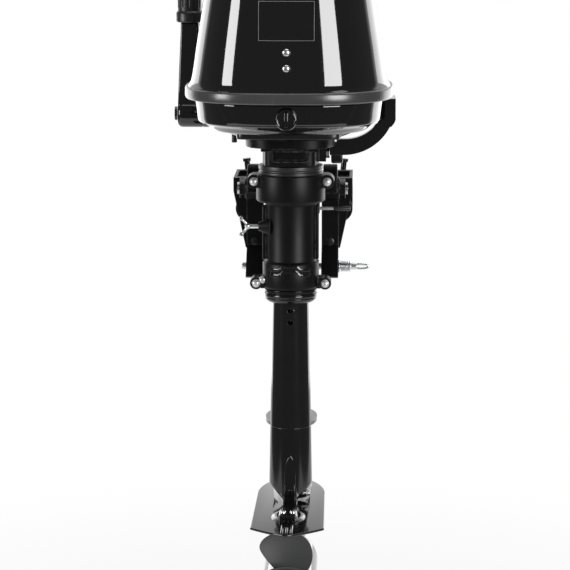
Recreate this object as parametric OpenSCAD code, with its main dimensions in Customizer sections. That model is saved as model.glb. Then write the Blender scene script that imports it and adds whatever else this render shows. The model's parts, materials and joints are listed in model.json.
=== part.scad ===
// Portable outboard motor that clamps on a boat's transom, as an assembly of separate parts.
// Millimetres, +Z up, +Y towards the bow, +X to starboard.
// The origin is the transom seat: Z 0 under the hooks, Y 0 on the transom's aft face.

/* [Transom clamp] */
// Transom thickness that the clamp screws are set to
transom_t = 45; // [34:1:52]
// Widest transom that the hooks take
jaw_gap = 64; // [62:1:76]
// Half of the clear gap between the two clamp brackets
clamp_in = 38; // [37:0.5:44]
// Width of each clamp bracket's web
web_w = 22; // [16:1:26]
// Depth of each web behind the transom
web_back = 24; // [18:1:30]
// Reach of the hooks from the middle line
hook_out = 78; // [74:1:90]
// Thickness of the hooks above the transom
hook_t = 14; // [10:1:18]
// Thickness of the leg that carries each clamp screw
jaw_t = 20; // [14:1:26]
// Distance of each clamp screw from the middle line
screw_x = 60; // [58:1:70]
// Drop of the clamp screws below the seat
screw_drop = 34; // [28:1:42]
// Radius of the clamp screws
screw_r = 6; // [5:0.5:8]
// Length of each clamp screw's lever
lever_len = 56; // [40:1:58]
// Radius of the clamp pads
pad_r = 18; // [14:1:22]
// Thickness of the clamp pads
pad_t = 8; // [7:0.5:12]

/* [Tilt and trim] */
// Distance of the tilt axis behind the transom
tilt_back = 26; // [22:1:32]
// Height of the tilt axis above the seat
tilt_up = 2; // [0:0.5:6]
// Radius of the tilt bolt
tilt_r = 8; // [6:0.5:9]
// Radius of the trim pin
pin_r = 4.5; // [3.5:0.5:6]
// Radius of the arc of trim holes about the tilt axis
trim_arc = 105; // [98:1:112]
// Angle of the trim hole in use, forward of straight down
trim_deg = 6.5; // [4:0.5:9]
// Angle between two trim holes
trim_step = 8; // [7:0.5:9]

/* [Swivel] */
// Distance of the steering axis behind the transom
axis_back = 105; // [100:1:115]
// Radius of the steering tube
tube_r = 25.5; // [23:0.5:26]
// Inner radius of the swivel halves
swivel_in = 29; // [28.5:0.5:30]
// Radius of the swivel's upper collar
collar_r = 44; // [42:1:48]
// Top of the upper collar
collar_top = 31; // [28:1:34]
// Height of the upper collar
collar_h = 35; // [30:1:40]
// Radius of the swivel's waist
waist_r = 32.5; // [32:0.5:35]
// Radius of the swivel's lower collar
foot_r = 36; // [35.5:0.5:40]
// Height of the lower collar
foot_h = 35; // [30:1:40]
// Lower end of the swivel
foot_z = -115.5; // [-120:0.5:-112]
// Distance of the upper swivel bolts from the middle line
lug_x = 46.5; // [45:0.5:50]
// Distance of the lower swivel bolts from the middle line
foot_lug_x = 44; // [42:0.5:48]
// Height of the friction screw
friction_z = -35; // [-42:1:-28]

/* [Steering head and leg] */
// Radius of the upper bush's flange
bush_r = 41; // [38:0.5:43]
// Height of the upper bush's flange
bush_h = 11.5; // [9:0.5:14]
// Radius of the neck
neck_r = 36; // [34:0.5:38]
// Underside of the powerhead flange
flange_z = 71; // [68:1:74]
// Thickness of the powerhead flange
flange_t = 11; // [8:1:13]
// Half width of the powerhead flange
flange_w = 56; // [52:1:60]
// Radius of the thrust collar
thrust_r = 34; // [32:0.5:36]
// Lower end of the thrust collar and top of the leg
leg_top = -133; // [-138:1:-129]
// Lower end of the leg
leg_foot = -296; // [-310:1:-285]
// Leg radius at its top
leg_r = 23.5; // [22.5:0.5:25]
// Leg radius at its foot
leg_foot_r = 26.4; // [26:0.2:28]
// Half width of the splash plate
splash_w = 33.5; // [31:0.5:40]
// Half length of the splash plate
splash_l = 60; // [50:1:70]

/* [Gearcase and propeller] */
// Top of the anti-ventilation plate
plate_z = -392.5; // [-405:0.5:-385]
// Thickness of the anti-ventilation plate
plate_t = 5.5; // [4:0.5:8]
// Half width of the plate
plate_w = 46; // [42:1:52]
// Reach of the plate behind the steering axis
plate_back = 198; // [190:1:210]
// Height of the propeller shaft
prop_z = -488; // [-495:1:-482]
// Radius of the gearcase body
pod_r = 34; // [33:0.5:38]
// Half width of the strut at the plate
strut_w = 28.5; // [27:0.5:32]
// Half width of the strut below the plate
keel_w = 19; // [18.5:0.5:22]
// Propeller radius
prop_r = 83; // [74:1:86]
// Propeller blade pitch
prop_pitch = 150; // [120:5:180]
// Radius of the propeller's hub
hub_r = 35; // [32:0.5:38]
// Lower end of the skeg below the propeller tips
skeg_drop = 14; // [6:1:24]
// Radius of the propeller shaft
shaft_r = 7; // [6:0.5:7.5]
// Radius of the drive shaft
drive_r = 6; // [5:0.5:6.5]
// Pitch radius of the driven gear
gear_r = 26; // [25:0.25:26]
// Teeth on the pinion
pinion_teeth = 13;
// Teeth on the driven gear
gear_teeth = 27;
// Face width of the gears along the pitch cone, as a share of its length
gear_face = 0.34; // [0.3:0.01:0.36]

/* [Cowl] */
// Lower edge of the seal band
seal_z = 136; // [134:0.5:138]
// Height of the seal band
seal_h = 14; // [11:0.5:17]
// Half width of the seal band
seal_w = 129; // [127:0.5:134]
// Half length of the seal band
seal_l = 145; // [143:0.5:150]
// Distance of the cowl's middle behind the steering axis
cowl_back = 55; // [50:1:60]
// Roundness of the cowl's outline, 2 is an ellipse
cowl_round = 2.7; // [2.4:0.1:3.2]
// Wall of the cowls
cowl_wall = 3; // [2.5:0.5:4]
// Top of the upper cowl
cowl_top = 384; // [376:1:400]
// Half width of the front panel
panel_w = 46; // [42:1:52]
// Top of the front panel
panel_top = 306; // [302:1:318]
// Height of the latch knob
latch_z = 118; // [114:1:122]
// Radius of the latch knob
latch_r = 11.5; // [9:0.5:13]

/* [Steering bar and tiller] */
// Lower edge of the steering bar
bar_z = 90; // [86:1:94]
// Height of the steering bar
bar_h = 36; // [30:1:40]
// Thickness of the steering bar
bar_t = 14; // [10:1:16]
// Outer reach of the bar to starboard
bar_x = 133; // [132:0.5:137]
// Outer reach of the bar in front of the steering axis
bar_y = 105; // [102:1:112]
// Height of the tiller's pivot
pivot_z = 98; // [95:1:104]
// Distance of the tiller from the middle line
tiller_x = 134.5; // [134:0.5:140]
// Radius of the tiller's knuckle
knuckle_r = 18; // [16:0.5:20]
// Length of the tiller arm from pivot to grip
tiller_len = 119; // [100:1:140]
// Length of the throttle grip
grip_len = 140; // [110:1:160]
// Radius of the throttle grip
grip_r = 15.6; // [14:0.2:18]

/* [Powerhead] */
// Radius of the crankshaft
crank_r = 10; // [8:0.5:11]
// Top of the crankcase
case_top = 222; // [216:1:226]
// Half width of the crankcase
case_w = 40; // [36:1:44]
// Clearance between the cowl's front and the recoil starter's housing
recoil_gap = 27; // [26:0.5:30]
// Clearance between the flywheel and the recoil starter's housing
flywheel_gap = 11; // [10:1:18]
// Radius on which the starter rope winds
rope_x = 26; // [22:1:30]
// Radius of the starter rope
rope_r = 2.2; // [1.6:0.2:3]

/* [Hidden] */
$fn = 64;
// Radial clearance of running fits
fit = 0.05;
// Gap between fixed parts that only lie beside each other
gap = 0.2;
// Gap between moving parts
run = 0.3;
ax = -axis_back;
tilt_y = -tilt_back;
web_out = clamp_in + web_w;
jaw_end = jaw_gap + jaw_t;
pin_y = tilt_y + trim_arc * sin(trim_deg);
pin_z = tilt_up - trim_arc * cos(trim_deg);
screw_head = jaw_end + 28;
collar_z = collar_top - collar_h;
foot_top = foot_z + foot_h;
bush_top = collar_top + run + bush_h;
neck_z = bush_top + run;
deck_z = flange_z + flange_t;
pinion_r = gear_r * pinion_teeth / gear_teeth;
pod_back = -104;
hub_back = -166;
seal_top = seal_z + seal_h;
rim_z = seal_top + run;
mid = -cowl_back;
bore_z = prop_z + gear_r;
recoil_r = mid + seal_l - recoil_gap;
flywheel_r = recoil_r - flywheel_gap;
cyl_z = (deck_z + case_top) / 2 - 1;
choke_z = case_top + 28;
stop_z = case_top - 24;
waist_z = rim_z + 105.7;
rivets_z = [rim_z + 28.7, rim_z + 47.7];
pan_z = seal_z - 24;
knee_z = seal_z - 35;
nipple_x = flange_w + 3 + 13 / 45 * (seal_w - 28 - flange_w);

// Round outline of a cowl: half width w, from y0 to y1
function oval(w, y0, y1, round = cowl_round, count = 48) = [for (i = [0:count - 1])
    let (a = 360 * i / count, c = cos(a), s = sin(a))
    [w * sign(c) * pow(abs(c), 2 / round), (y0 + y1) / 2 + (y1 - y0) / 2 * sign(s) * pow(abs(s), 2 / round)]];

// Streamlined outline: half width w, nose at y1, tail of half width t at y0
function fin(w, y0, y1, t) = concat(
    [for (i = [0:12]) let (a = 90 - 90 * i / 12) [w * cos(a), y1 * sin(a)]],
    [for (i = [1:12]) [t + (w - t) * (1 + cos(15 * i)) / 2, y0 * i / 12]],
    [for (i = [12:-1:1]) [-t - (w - t) * (1 + cos(15 * i)) / 2, y0 * i / 12]],
    [for (i = [12:-1:1]) let (a = 90 - 90 * i / 12) [-w * cos(a), y1 * sin(a)]]);

// Cowl sections as height, half width, rear and front reach from the steering axis
top_w = seal_w - 7;
upper_sections = [[rim_z, top_w, mid - seal_l + 7, mid + seal_l - 6],
    [waist_z, top_w - 16, mid - seal_l + 17, mid + seal_l - 16],
    [cowl_top - 54, top_w - 28, mid - seal_l + 32, mid + seal_l - 30],
    [cowl_top - 18, top_w - 50, mid - seal_l + 60, mid + seal_l - 56],
    [cowl_top, top_w - 88, mid - seal_l + 104, mid + seal_l - 96]];
lower_sections = [[seal_top - 3, seal_w - 11, mid - seal_l + 12, mid + seal_l - 10],
    [pan_z, seal_w - 15, mid - seal_l + 16, mid + seal_l - 14],
    [knee_z, seal_w - 25, mid - seal_l + 28, mid + seal_l - 24],
    [deck_z + 0.2, flange_w + 3, -114, 48]];

// Rear wall of the upper cowl at height z, between its two lower sections
function rear_at(z) = upper_sections[0][2]
    + (upper_sections[1][2] - upper_sections[0][2]) * (z - rim_z) / (waist_z - rim_z);

module on_axis() {
    translate([0, ax, 0])
    children();
}

module box(x0, x1, y0, y1, z0, z1) {
    translate([x0, y0, z0])
    cube([x1 - x0, y1 - y0, z1 - z0]);
}

module rod_x(x0, x1, r) {
    translate([x0, 0, 0])
    rotate([0, 90, 0])
    cylinder(h = x1 - x0, r = r);
}

module rod_y(y0, y1, r) {
    translate([0, y0, 0])
    rotate([-90, 0, 0])
    cylinder(h = y1 - y0, r = r);
}

module rod_z(z0, z1, r) {
    translate([0, 0, z0])
    cylinder(h = z1 - z0, r = r);
}

// Hexagon along X, Y
module hex_x(x0, x1, r) {
    translate([x0, 0, 0])
    rotate([0, 90, 0])
    cylinder(h = x1 - x0, r = r, $fn = 6);
}

module hex_y(y0, y1, r) {
    translate([0, y0, 0])
    rotate([-90, 0, 0])
    cylinder(h = y1 - y0, r = r, $fn = 6);
}

// Outline in Y and Z, pushed from x0 to x1
module plate_x(x0, x1) {
    translate([x0, 0, 0])
    rotate([90, 0, 90])
    linear_extrude(x1 - x0)
    children();
}

// Outline in X and Z, pushed from y0 to y1
module plate_y(y0, y1) {
    translate([0, y1, 0])
    rotate([90, 0, 0])
    linear_extrude(y1 - y0)
    children();
}

module slice(points, z) {
    translate([0, 0, z])
    linear_extrude(0.2)
    polygon(points);
}

// Hull through cowl sections, drawn in by the wall
module cowl_form(sections, inset) {
    hull()
    for (s = sections)
        slice(oval(s[1] - inset, s[2] + inset, s[3] - inset), s[0] - (s[0] > 360 ? inset : 0));
}

module mirrored_pair() {
    children();
    mirror([1, 0, 0])
    children();
}

// Transom clamp

module clamp_casting() {
    difference() {
        union() {
            plate_x(clamp_in, web_out) {
                translate([-web_back, pin_z + 20])
                square([web_back, hook_t - pin_z - 20]);
                translate([tilt_y, tilt_up])
                circle(r = tilt_r + 8);
                polygon(concat([[0, pin_z + 22], [-web_back, pin_z + 30]],
                    [for (i = [0:8]) let (a = -18 + i * (18 + asin(tilt_back / (trim_arc + 12))) / 8)
                        [tilt_y + (trim_arc + 12) * sin(a), tilt_up - (trim_arc + 12) * cos(a)]]));
            }
            box(clamp_in, web_out, -web_back, jaw_end, 0, hook_t);
            box(web_out - 1, hook_out, tilt_y + tilt_r + 7, jaw_end, 0, hook_t);
            plate_y(tilt_y + tilt_r + 7, 0)
            polygon([[web_out - 1, 1], [hook_out, 1], [hook_out, -4], [web_out + 2, pin_z + 24], [web_out - 1, pin_z + 24]]);
            box(screw_x - 15, hook_out, jaw_gap, jaw_end, -screw_drop, 1);
            translate([screw_x, 0, -screw_drop])
            rod_y(jaw_gap - 1, jaw_end + 4, screw_r + 9);
        }
        translate([0, tilt_y, tilt_up])
        rod_x(clamp_in - 1, web_out + 1, tilt_r + fit);
        for (k = [0:2])
            translate([0, tilt_y + trim_arc * sin(trim_deg - k * trim_step),
                tilt_up - trim_arc * cos(trim_deg - k * trim_step)])
            rod_x(clamp_in - 1, web_out + 1, pin_r + run);
        translate([screw_x, 0, -screw_drop])
        rod_y(jaw_gap - 2, jaw_end + 5, screw_r + fit);
        translate([clamp_in + web_w / 2, 0, pin_z + 34])
        rod_y(-web_back - 20, 1, 4.25);
        translate([clamp_in - 1, jaw_end - 8, hook_t])
        rotate([45, 0, 0])
        cube([60, 20, 20]);
    }
}

module clamp_bracket_starboard() {
    color("#141414")
    clamp_casting();
}

module clamp_bracket_port() {
    color("#141414")
    mirror([1, 0, 0])
    clamp_casting();
}

module clamp_bridge() {
    color("#1a1a1a")
    difference() {
        box(-clamp_in, clamp_in, 0, jaw_gap - 10, 0, hook_t - 4);
        box(-clamp_in + 10, clamp_in - 10, 30, jaw_gap - 22, 4, hook_t);
    }
}

module tilt_bolt() {
    color("#b9bcc0")
    translate([0, tilt_y, tilt_up])
    rod_x(-web_out - 12, web_out + 12, tilt_r);
}

module tilt_nuts() {
    color("#c4c7ca")
    mirrored_pair()
    translate([0, tilt_y, tilt_up])
    difference() {
        union() {
            hex_x(web_out + 1.6, web_out + 9, tilt_r + 5);
            rod_x(web_out, web_out + 1.6, tilt_r + 6);
        }
        rod_x(web_out - 1, web_out + 10, tilt_r + fit);
    }
}

module trim_pin() {
    color("#c9ccd0")
    translate([0, pin_y, pin_z]) {
        rod_x(-web_out - 7, web_out + 24, pin_r);
        rod_x(web_out + run, web_out + 2, pin_r + 4);
        difference() {
            union() {
                box(web_out + 27, web_out + 35, -2, 2, -6, 6);
                translate([web_out + 27, -2, 0])
                rod_y(0, 4, 6);
                translate([web_out + 35, -2, 0])
                rod_y(0, 4, 6);
            }
            box(web_out + 27, web_out + 35, -3, 3, -3, 3);
            translate([web_out + 27, -3, 0])
            rod_y(0, 6, 3);
            translate([web_out + 35, -3, 0])
            rod_y(0, 6, 3);
        }
        rod_x(web_out + 14, web_out + 16, pin_r + 3);
    }
}

// Spring as one unbroken tube on a helix about the pin
spring_turns = 6;
spring_wire = 0.6;
spring_rise = (11.8 - 2 * spring_wire) / spring_turns;
echo(spring_gap = spring_rise - 2 * spring_wire);
spring_rings = spring_turns * 8;

function spring_point(i, j) = let (a = 45 * i, r = pin_r + 2.2 + spring_wire * cos(60 * j))
    [spring_wire * sin(60 * j) + spring_rise * i / 8, r * cos(a), r * sin(a)];

module trim_pin_spring() {
    color("#a9adb1")
    translate([web_out + 2 + spring_wire + 0.1, pin_y, pin_z])
    polyhedron(
        points = [for (i = [0:spring_rings]) for (j = [0:5]) spring_point(i, j)],
        faces = concat([[0, 1, 2, 3, 4, 5]],
            [for (i = [0:spring_rings - 1]) for (j = [0:5])
                [6 * i + j, 6 * i + 6 + j, 6 * i + 6 + (j + 1) % 6, 6 * i + (j + 1) % 6]],
            [[for (j = [5:-1:0]) 6 * spring_rings + j]]));
}

module clamp_pad() {
    translate([screw_x, 0, -screw_drop])
    difference() {
        union() {
            rod_y(transom_t, transom_t + 4, pad_r);
            rod_y(transom_t + 4, transom_t + pad_t, screw_r + 4);
        }
        rod_y(transom_t + 3, transom_t + pad_t + 1, screw_r + fit);
    }
}

module clamp_pad_starboard() {
    color("#2a2a2a")
    clamp_pad();
}

module clamp_pad_port() {
    color("#2a2a2a")
    mirror([1, 0, 0])
    clamp_pad();
}

module clamp_screw() {
    translate([screw_x, 0, -screw_drop])
    union() {
        rod_y(transom_t + 3 + run, screw_head + 12, screw_r);
        rod_y(screw_head - 6, screw_head + 10, screw_r + 3.5);
        translate([0, screw_head + 2, 0])
        rotate([0, 6, 0]) {
            rod_z(-14, lever_len, 4);
            rod_z(lever_len, lever_len + 4, 5.5);
            rod_z(-18, -14, 5.5);
        }
    }
}

module clamp_screw_starboard() {
    color("#b9bcc0")
    clamp_screw();
}

module clamp_screw_port() {
    color("#b9bcc0")
    mirror([1, 0, 0])
    clamp_screw();
}

// Swivel

module swivel_form() {
    rod_z(collar_z, collar_top, collar_r);
    rod_z(foot_top - 1, collar_z + 1, waist_r);
    rod_z(foot_z, foot_top, foot_r);
    mirrored_pair() {
        translate([lug_x, 0, 22])
        rod_y(-14, 14, 9);
        box(30, lug_x, -14, 14, 14, collar_top);
        translate([foot_lug_x, 0, -109])
        rod_y(-12, 12, 8);
        box(25, foot_lug_x, -12, 12, -115, -101);
    }
}

module swivel_bores() {
    rod_z(foot_z - 1, collar_top + 1, swivel_in);
    mirrored_pair() {
        translate([lug_x, 0, 22])
        rod_y(-30, 30, 4 + fit);
        translate([foot_lug_x, 0, -109])
        rod_y(-30, 30, 3.5 + fit);
    }
}

module swivel_bracket() {
    reach = axis_back - tilt_back;
    color("#171717")
    on_axis()
    difference() {
        union() {
            intersection() {
                swivel_form();
                box(-90, 90, 0, 90, -200, 100);
            }
            translate([0, reach, tilt_up])
            rod_x(-clamp_in + run, clamp_in - run, tilt_r + 7);
            box(-clamp_in + 4, clamp_in - 4, 20, reach, tilt_up - 12, tilt_up + 13);
            box(-9, 9, 28, reach - 28, foot_top - 10, tilt_up - 10);
            box(-28, 28, 20, axis_back + pin_y - pin_r - run, foot_z + 2, pin_z + 14);
        }
        swivel_bores();
        translate([0, reach, tilt_up])
        rod_x(-60, 60, tilt_r + fit);
    }
}

module swivel_cover() {
    color("#171717")
    on_axis()
    difference() {
        union() {
            intersection() {
                swivel_form();
                box(-90, 90, -90, 0, -200, 100);
            }
            translate([0, -16, friction_z])
            rod_x(-waist_r - 6, -18, 9);
        }
        swivel_bores();
        mirrored_pair() {
            translate([lug_x, 0, 22])
            rod_y(-40, -14, 7.6);
            translate([foot_lug_x, 0, -109])
            rod_y(-40, -12, 6.8);
        }
        translate([0, -16, friction_z])
        rod_x(-80, -10, 4 + fit);
        for (k = [0:1])
            translate([0, 0, foot_top - 9 - 9 * k])
            difference() {
                rod_z(0, 3, foot_r + 5);
                rod_z(-1, 4, foot_r - 1.2);
            }
    }
}

module swivel_bolts() {
    color("#c4c7ca")
    on_axis()
    mirrored_pair() {
        translate([lug_x, 0, 22]) {
            rod_y(-14, 13, 4);
            hex_y(-19, -14, 7);
            rod_y(-20.5, -19, 4.6);
        }
        translate([foot_lug_x, 0, -109]) {
            rod_y(-12, 11, 3.5);
            hex_y(-16.5, -12, 6.2);
            rod_y(-17.8, -16.5, 4);
        }
    }
}

module upper_bush() {
    color("#3a3a3a")
    on_axis()
    difference() {
        union() {
            rod_z(collar_z - 4, collar_top + run, swivel_in);
            rod_z(collar_top, bush_top, bush_r);
        }
        rod_z(collar_z - 5, bush_top + 1, tube_r + fit);
        difference() {
            rod_z(collar_top + 4, collar_top + 6.5, bush_r + 2);
            rod_z(collar_top + 3, collar_top + 8, bush_r - 1.5);
        }
    }
}

module lower_bush() {
    color("#3a3a3a")
    on_axis()
    difference() {
        rod_z(foot_z, foot_top, swivel_in);
        rod_z(foot_z - 1, foot_top + 1, tube_r + fit);
    }
}

module friction_screw() {
    color("#c4c7ca")
    on_axis()
    translate([0, -16, friction_z]) {
        rod_x(-waist_r - 26, -28.5, 4);
        rod_x(-waist_r - 24, -waist_r - 17, 6);
        difference() {
            translate([-waist_r - 31, 0, 0])
            rotate([90, 0, 0])
            translate([0, 0, -1.5])
            linear_extrude(3) {
                square([12, 10], center = true);
                translate([-1, 8])
                circle(r = 5.5);
                translate([-1, -8])
                circle(r = 5.5);
            }
            rod_x(-waist_r - 40, -waist_r - 34, 3);
        }
    }
}

// Steering head and leg

module steering_head() {
    color("#101010")
    on_axis()
    difference() {
        union() {
            rod_z(leg_top, neck_z + 1, tube_r);
            rod_z(neck_z, flange_z + 1, neck_r);
            translate([0, 0, flange_z])
            linear_extrude(flange_t)
            polygon(oval(flange_w, -86, 46, 3));
            box(0, neck_r + 1, -8, 34, neck_z + 4, flange_z + 1);
            box(-flange_w + 8, flange_w - 8, -70, -20, flange_z - 8, flange_z + 1);
        }
        rod_z(leg_top - 1, deck_z + 1, 19);
        for (k = [0:1])
            box(-24, 24, -neck_r - 40, -neck_r + 4, neck_z + 6 + 8 * k, neck_z + 10 + 8 * k);
        for (y = [-1.5, 27.5])
            translate([0, y, (neck_z + flange_z) / 2])
            rod_x(20, neck_r + 5, 3.5 + fit);
    }
}

module thrust_collar() {
    color("#1c1c1c")
    on_axis()
    difference() {
        union() {
            rod_z(foot_z - run - 5, foot_z - run, thrust_r);
            rod_z(leg_top + 5, foot_z - run - 5, thrust_r - 3);
            translate([0, 0, leg_top])
            cylinder(h = 5, r1 = leg_r + 4, r2 = thrust_r - 3);
        }
        rod_z(leg_top - 1, foot_z, tube_r);
    }
}

module leg_tube() {
    color("#0d0d0d")
    on_axis()
    difference() {
        union() {
            translate([0, 0, leg_foot])
            cylinder(h = leg_top - leg_foot, r1 = leg_foot_r, r2 = leg_r);
            translate([0, 35, leg_foot])
            linear_extrude(5)
            polygon(oval(splash_w, -splash_l, splash_l, 2));
        }
        rod_z(leg_foot - 1, leg_top + 1, leg_r - 5.5);
        for (k = [0:1])
            translate([0, 0, leg_top - 10 - 15 * k])
            rod_y(-leg_r - 4, 0, 3.5);
    }
}

// Gearcase

module pod_form() {
    rotate([-90, 0, 0])
    rotate_extrude()
    polygon(concat([[0, pod_back], [pod_r - 1, pod_back], [pod_r, pod_back + 24]],
        [for (i = [0:8]) let (a = 11.25 * i) [pod_r * cos(a), 46 + 44 * sin(a)]]));
}

module gearcase() {
    color("#0d0d0d")
    on_axis()
    difference() {
        union() {
            translate([0, 0, plate_z + 18])
            cylinder(h = leg_foot - plate_z - 18, r1 = strut_w - 0.6, r2 = leg_foot_r);
            hull() {
                slice(oval(strut_w - 0.6, 0.6 - strut_w, strut_w - 0.6, 2), plate_z + 22);
                slice(fin(strut_w, -112, 62, 8), plate_z);
            }
            translate([0, 0, plate_z - plate_t])
            linear_extrude(plate_t)
            polygon(concat(
                [for (i = [0:16]) let (a = 180 * i / 16) [plate_w * cos(a) * 0.96, 22 + 90 * sin(a)]],
                [[-plate_w, -plate_back + 36]],
                [for (i = [1:7]) let (a = 22.5 * i) [-plate_w * cos(a), -plate_back + 36 - 36 * sin(a)]],
                [[plate_w, -plate_back + 36]]));
            translate([0, 0, prop_z])
            linear_extrude(plate_z - prop_z - 1)
            polygon(fin(keel_w, -96, 66, 5));
            translate([0, 0, prop_z])
            pod_form();
            plate_x(-4.5, 4.5)
            polygon([[62, prop_z - 20], [12, prop_z - prop_r + 4], [-52, prop_z - prop_r - skeg_drop],
                [-74, prop_z - prop_r - skeg_drop + 4], [-78, prop_z - 20]]);
            box(-7, 7, -150, -100, plate_z - 1, plate_z + 9);
            translate([0, -150, 0])
            rod_z(plate_z - 1, plate_z + 9, 7);
        }
        translate([0, 0, prop_z]) {
            rod_y(pod_back - 1, 33, 28.5);
            rod_y(32, 46, 16);
        }
        rod_z(prop_z, bore_z + 22, 15);
        rod_z(prop_z, leg_foot + 1, drive_r + 4);
        rod_z(leg_foot - 30, leg_foot + 1, 21);
        translate([0, -20, plate_z + 12]) {
            rod_x(drive_r + 7, strut_w, 3 + fit);
            rod_x(strut_w - 4, strut_w + 10, 7.5);
        }
    }
}

module gearcase_screw() {
    color("#c4c7ca")
    on_axis()
    translate([0, -20, plate_z + 12]) {
        rod_x(drive_r + 8, strut_w - 4, 3);
        rod_x(strut_w - 4, strut_w - 2.6, 7);
        hex_x(strut_w - 2.6, strut_w + 2.4, 6);
    }
}

module pump_housing() {
    color("#55585c")
    on_axis()
    difference() {
        rod_z(leg_foot - 30, leg_foot, 21);
        rod_z(leg_foot - 24, leg_foot - 8, 16.6);
        rod_z(leg_foot - 31, leg_foot + 1, drive_r + run);
    }
}

module pump_impeller() {
    color("#252525")
    on_axis()
    difference() {
        union() {
            rod_z(leg_foot - 23, leg_foot - 9, drive_r + 4);
            for (k = [0:5])
                rotate([0, 0, 60 * k])
                box(drive_r + 2, 16, -1.2, 1.2, leg_foot - 22, leg_foot - 10);
        }
        rod_z(leg_foot - 24, leg_foot - 8, drive_r);
    }
}

module intake_grilles() {
    color("#26282a")
    on_axis()
    mirrored_pair()
    difference() {
        box(keel_w, keel_w + 2, -8, 8, plate_z - 40, plate_z - 14);
        for (k = [0:3])
            box(keel_w - 1, keel_w + 3, -6, 6, plate_z - 37 + 6 * k, plate_z - 34 + 6 * k);
    }
}

module bearing_carrier() {
    color("#8a8d90")
    on_axis()
    translate([0, 0, prop_z])
    difference() {
        rod_y(pod_back + 0.5, -64, 28.5);
        rod_y(pod_back - 1, -60, 14);
    }
}

module ring_y(y0, y1, outer, inner) {
    difference() {
        rod_y(y0, y1, outer);
        rod_y(y0 - 1, y1 + 1, inner);
    }
}

module shaft_bearings() {
    color("#9a9da0")
    on_axis() {
        translate([0, 0, prop_z]) {
            ring_y(-78, -66, 14, shaft_r + fit);
            ring_y(34, 45.8, 16, shaft_r + fit);
        }
        difference() {
            rod_z(bore_z + 8, bore_z + 22, 15);
            rod_z(bore_z, bore_z + 30, drive_r + fit);
        }
        for (z = [deck_z + 6, case_top - 16])
            difference() {
                rod_z(z, z + 14, crank_r + 9);
                rod_z(z - 1, z + 15, crank_r + fit);
            }
    }
}

module shaft_seal() {
    color("#202020")
    on_axis()
    translate([0, 0, prop_z])
    ring_y(pod_back + 1, pod_back + 9, 14, shaft_r + fit);
}

// Straight bevel teeth that meet at the crossing of the two shafts
module bevel(teeth, r, apex, share) {
    half = 90 / teeth;
    m = 2 * r / teeth;
    root = r - 0.72 * m * sqrt(r * r + apex * apex) / apex;
    tip = r + 0.75 * m;
    translate([0, 0, -apex])
    linear_extrude(apex * gear_face, scale = 1 - gear_face)
    union() {
        circle(r = root, $fn = 2 * teeth);
        for (i = [0:teeth - 1])
            rotate([0, 0, 360 * i / teeth])
            polygon([[root * cos(half * share * 1.7) - 0.4, -root * sin(half * share * 1.7)],
                [r * cos(half * share), -r * sin(half * share)],
                [tip * cos(half * share * 0.45), -tip * sin(half * share * 0.45)],
                [tip * cos(half * share * 0.45), tip * sin(half * share * 0.45)],
                [r * cos(half * share), r * sin(half * share)],
                [root * cos(half * share * 1.7) - 0.4, root * sin(half * share * 1.7)]]);
    }
}

module pinion_gear() {
    color("#7d8084")
    on_axis()
    translate([0, 0, prop_z])
    difference() {
        union() {
            mirror([0, 0, 1])
            rotate([0, 0, 90 - 180 / pinion_teeth])
            bevel(pinion_teeth, pinion_r, gear_r, 0.8);
            rod_z(gear_r - 0.5, gear_r + 7.6, 10);
        }
        rod_z(0, gear_r + 9, drive_r + fit);
    }
}

module driven_gear() {
    color("#7d8084")
    on_axis()
    translate([0, 0, prop_z])
    difference() {
        union() {
            rotate([90, 0, 0])
            rotate([0, 0, 90])
            bevel(gear_teeth, gear_r, pinion_r, 0.8);
            rod_y(pinion_r - 0.3, pinion_r + 8, gear_r - 3.5);
            rod_y(pinion_r + 8, 33.8, 13);
        }
        rod_y(0, 40, shaft_r);
    }
}

// Driveline

module crankshaft() {
    color("#8f9296")
    on_axis()
    difference() {
        union() {
            rod_z(deck_z - 24, case_top + 44, crank_r);
            rod_z(cyl_z - 21, cyl_z - 9, 30);
            rod_z(cyl_z + 9, cyl_z + 21, 30);
            rod_z(case_top + 36, case_top + 42, crank_r + 4);
        }
        rod_z(deck_z - 25, deck_z + 2, drive_r);
    }
}

module flywheel() {
    color("#6f7276")
    on_axis()
    difference() {
        union() {
            rod_z(case_top + 8, case_top + 34, flywheel_r);
            rod_z(case_top + 4, case_top + 36, crank_r + 8);
        }
        rod_z(case_top, case_top + 40, crank_r);
        for (k = [0:7])
            rotate([0, 0, 45 * k])
            translate([flywheel_r - 12, 0, 0])
            rod_z(case_top + 28, case_top + 40, 5);
    }
}

module drive_shaft() {
    color("#a2a5a9")
    on_axis()
    rod_z(prop_z + gear_r * (1 - gear_face) + 0.5, deck_z + 2, drive_r);
}

// Propeller

module prop_shaft() {
    color("#a2a5a9")
    on_axis()
    translate([0, 0, prop_z])
    difference() {
        rod_y(hub_back - 20, 45.8, shaft_r);
        translate([0, pod_back - 14, 0])
        rod_x(-20, 20, 2);
    }
}

module shear_pin() {
    color("#b9bcc0")
    on_axis()
    translate([0, pod_back - 14, prop_z])
    rod_x(-14, 14, 2);
}

// Blade as a grid of points: radius steps by chord steps, two faces
blade_n = 9;
blade_m = 8;

function blade_half(t) = t < 0.62 ? 19 + 17 * sin(90 * t / 0.62)
    : 36 * sqrt(1 - pow((t - 0.62) / 0.385, 2));

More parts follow.
